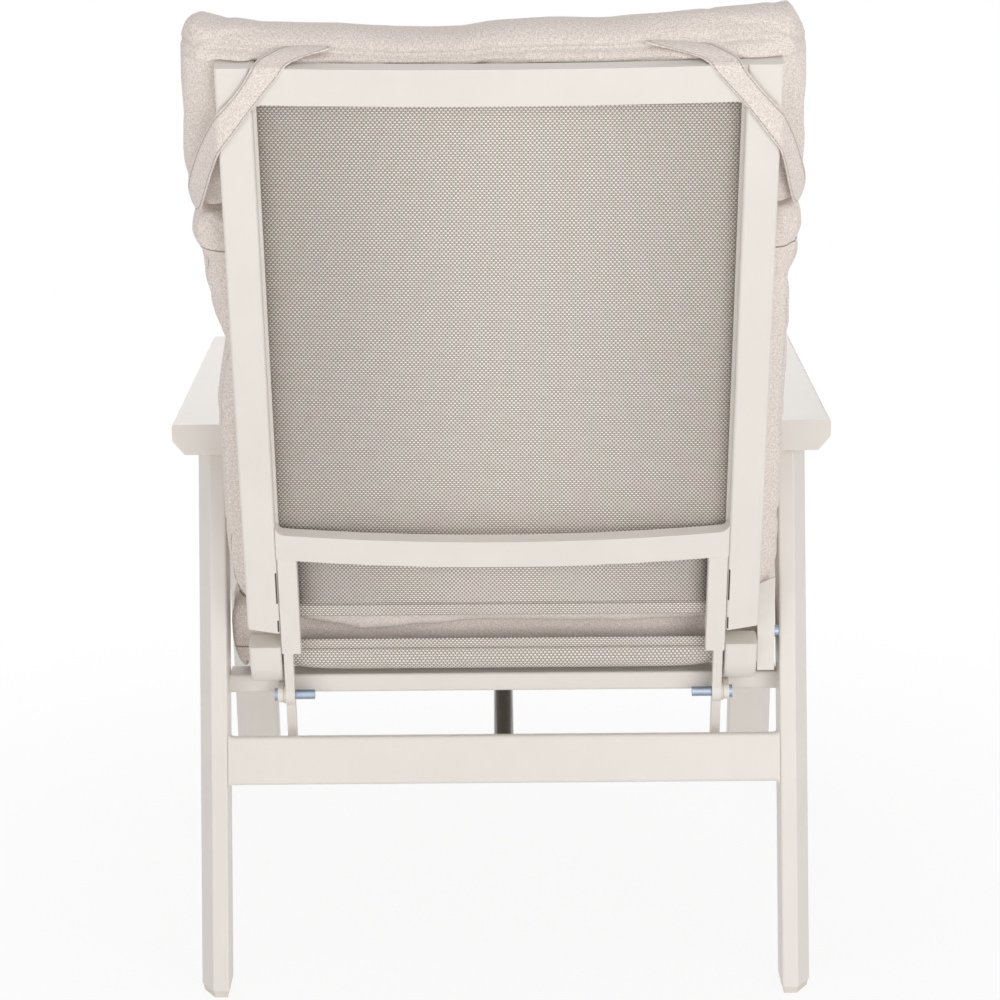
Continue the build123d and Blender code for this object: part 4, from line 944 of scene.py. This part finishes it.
half, low, high, rows = (slingLook[name] for name in ("half", "low", "high", "rows"))
backStations = acrossBack(half, [low + (high - low) * i / rows for i in range(rows + 1)])
backMesh = meshFinish("backMesh", (slingLook["hem"],))
backSling = makeSling("backSling", backStations, backMesh)
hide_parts("back_sling")
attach(backSling, "backrest")
seatPath = hookPath()
seatStations = [(Vector((-half, y, z)), Vector((half, y, z))) for y, z in seatPath]
seatMesh = meshFinish("seatMesh", (slingLook["seatHem"],))
seatSling = makeSling("seatSling", seatStations, seatMesh, slingSag)
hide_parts("seat_sling")
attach(seatSling, "frame")
seatRun = sum((b - a).length for a, b in zip(seatPath, seatPath[1:]))


def makeHem(name, stations, body):
    hem = growRibbon(name, stations)
    ribbonMap(hem, stations)
    settle(hem, 60)
    finishWith(hem, "SOLIDIFY", thickness=slingLook["thick"] + slingLook["hemExtra"], offset=0.0)
    finishWith(hem, "BEVEL", width=slingLook["hemBevel"], segments=2)
    coat(hem, hemMesh)
    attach(hem, body)
    return hem


hem, middle, inner = (slingLook[name] for name in ("hem", "hemMiddle", "hemHalf"))
hemMesh = meshFinish("hemMesh", (hem - slingLook["hemStitch"],))
backHems = [
    makeHem("backSlingLowHem", acrossBack(inner, (low, low + middle, low + hem)), "backrest"),
    makeHem("backSlingTopHem", acrossBack(inner, (high - hem, high - middle, high)), "backrest"),
]
hookHem = [(Vector((-inner, y, z)), Vector((inner, y, z))) for y, z in seatPath[:3]]
seatHems = [makeHem("seatSlingHem", hookHem, "frame")]


def makeRope(name, stations, side, body):
    # the hem rope that holds the sling in the rail's groove
    line = [pair[0 if side < 0 else 1] for pair in stations]
    bpy.ops.mesh.primitive_circle_add(vertices=12, radius=slingLook["rope"], fill_type="NOTHING")
    rope = bpy.context.object
    rope.name = rope.data.name = name
    first = (line[1] - line[0]).normalized()
    rope.matrix_world = Matrix.Translation(line[0]) @ first.to_track_quat("Z", "Y").to_matrix().to_4x4()
    take(rope)
    bpy.ops.object.transform_apply(location=True, rotation=True, scale=True)
    mesh = edit(rope, "EDGE")
    bpy.ops.mesh.select_all(action="SELECT")
    heading = first
    for k, (a, b) in enumerate(zip(line, line[1:])):
        ahead = (line[k + 2] - b).normalized() if k + 2 < len(line) else (b - a).normalized()
        bpy.ops.mesh.extrude_region_move(TRANSFORM_OT_translate={"value": b - a})
        turn = heading.rotation_difference(ahead)
        mesh = bmesh.from_edit_mesh(rope.data)
        chosen = [v for v in mesh.verts if v.select]
        bmesh.ops.rotate(mesh, cent=b, matrix=turn.to_matrix(), verts=chosen)
        heading = ahead
    bmesh.ops.holes_fill(mesh, edges=[e for e in mesh.edges if e.is_boundary], sides=20)
    done(rope)
    settle(rope, 60)
    clothMap(rope)
    coat(rope, hemMesh)
    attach(rope, body)
    return rope


backEnds = [backStations[0], backStations[len(backStations) // 2], backStations[-1]]
backRopes = [
    makeRope("backSlingRopeLeft", backEnds, 1, "backrest"), makeRope("backSlingRopeRight", backEnds, -1, "backrest"),
]
seatRopes = [
    makeRope("seatSlingRopeLeft", seatStations, 1, "frame"), makeRope("seatSlingRopeRight", seatStations, -1, "frame"),
]
print("slings stretched, seat run", round(seatRun, 4))

floorLook = {"size": 60.0, "colour": tone(250, 250, 250), "dim": 0.99, "near": 0.40, "far": 1.3, "glow": 0.88}
bpy.ops.mesh.primitive_plane_add(size=floorLook["size"])
floor = bpy.context.object
floor.name = "floor"
floorFinish = Finish("floorFinish", Roughness=0.9, Specular_IOR_Level=0.1)
speck = floorFinish.grain(floorFinish.place(), 3.0, 2.0)
floorFinish.feed("Base Color", floorFinish.mixed(speck, dull(floorLook["colour"], floorLook["dim"]), floorLook["colour"]))
# far from the chair the floor shows as the plain white of the room
far = floorFinish.node("VectorMath", {"operation": "LENGTH"}, {0: floorFinish.place()}, "Value")
bare = floorFinish.node("Emission", None, {"Color": (1, 1, 1, 1), "Strength": 1.0})
ray = floorFinish.node("LightPath", output="Is Camera Ray")
for other in ("Is Glossy Ray", "Is Transmission Ray"):
    ray = ray.maths("MAXIMUM", ray, floorFinish.node("LightPath", output=other))
fade = (far.step(floorLook["near"], floorLook["far"]) * (1 - floorLook["glow"]) + floorLook["glow"]) * ray
lit = Signal(floorFinish.tree, floorFinish.shader.outputs[0])
floorShow = floorFinish.node("MixShader", None, {0: fade, 1: lit, 2: bare})
floorFinish.tree.links.new(floorShow.socket, floorFinish.tree.nodes["Material Output"].inputs["Surface"])
floor.data.materials.append(floorFinish.material)

# the room lights the chair at a plain level, and shows as white where it is seen
roomLook = {"light": 0.52, "seen": 1.0}
world = bpy.data.worlds.new("paleRoom")
scene.world = world
world.use_nodes = True
room = world.node_tree
path = makeNode(room, "LightPath", {}, {})
plain = room.nodes["Background"]
plain.inputs["Color"].default_value = (1, 1, 1, 1)
plain.inputs["Strength"].default_value = roomLook["light"]
shown = makeNode(room, "Background", {}, {"Color": (1, 1, 1, 1), "Strength": roomLook["seen"]})
seen = Signal(room, path.outputs["Is Camera Ray"])
for other in ("Is Glossy Ray", "Is Transmission Ray"):
    seen = seen.maths("MAXIMUM", seen, Signal(room, path.outputs[other]))
choice = makeNode(room, "MixShader", {}, {0: seen, 1: Signal(room, plain.outputs[0]), 2: Signal(room, shown.outputs[0])})
room.links.new(choice.outputs[0], room.nodes["World Output"].inputs[0])

# each lamp's name, place, width and watts; all look at the chair's middle
lampAim = Vector((0, 0.1, 0.5))
lampLook = (
    ("rearKey", (-1.8, 3.6, 1.1), 2.2, 47.0), ("rearFill", (2.2, 3.2, 0.7), 2.2, 27.0),
    ("topSoft", (0.0, 0.6, 3.6), 3.0, 6.0), ("frontSoft", (0.4, -3.2, 2.0), 2.6, 27.0),
)
for name, place, size, power in lampLook:
    bpy.ops.object.light_add(type="AREA", location=place)
    lamp = bpy.context.object
    lamp.name = lamp.data.name = name
    lamp.data.size = size
    lamp.data.energy = power
    lamp.rotation_euler = (lampAim - Vector(place)).to_track_quat("-Z", "Y").to_euler()

view = {"place": (0.0021, 3.322, 1.292), "down": radians(14.0), "roll": radians(0.46), "lens": 108.0}
ahead = Vector((0, -cos(view["down"]), -sin(view["down"])))
level, upright = Vector((-1, 0, 0)), Vector((0, -sin(view["down"]), cos(view["down"])))
right = level * cos(view["roll"]) - upright * sin(view["roll"])
up = level * sin(view["roll"]) + upright * cos(view["roll"])
lens = bpy.data.cameras.new("photoCamera")
lens.lens, lens.sensor_width = view["lens"], 36.0
camera = bpy.data.objects.new("photoCamera", lens)
scene.collection.objects.link(camera)
camera.matrix_world = Matrix.Translation(view["place"]) @ Matrix((right, up, -ahead)).transposed().to_4x4()
scene.camera = camera
scene.view_settings.view_transform = "Standard"
deselect()
print("floor, lamps and camera set")
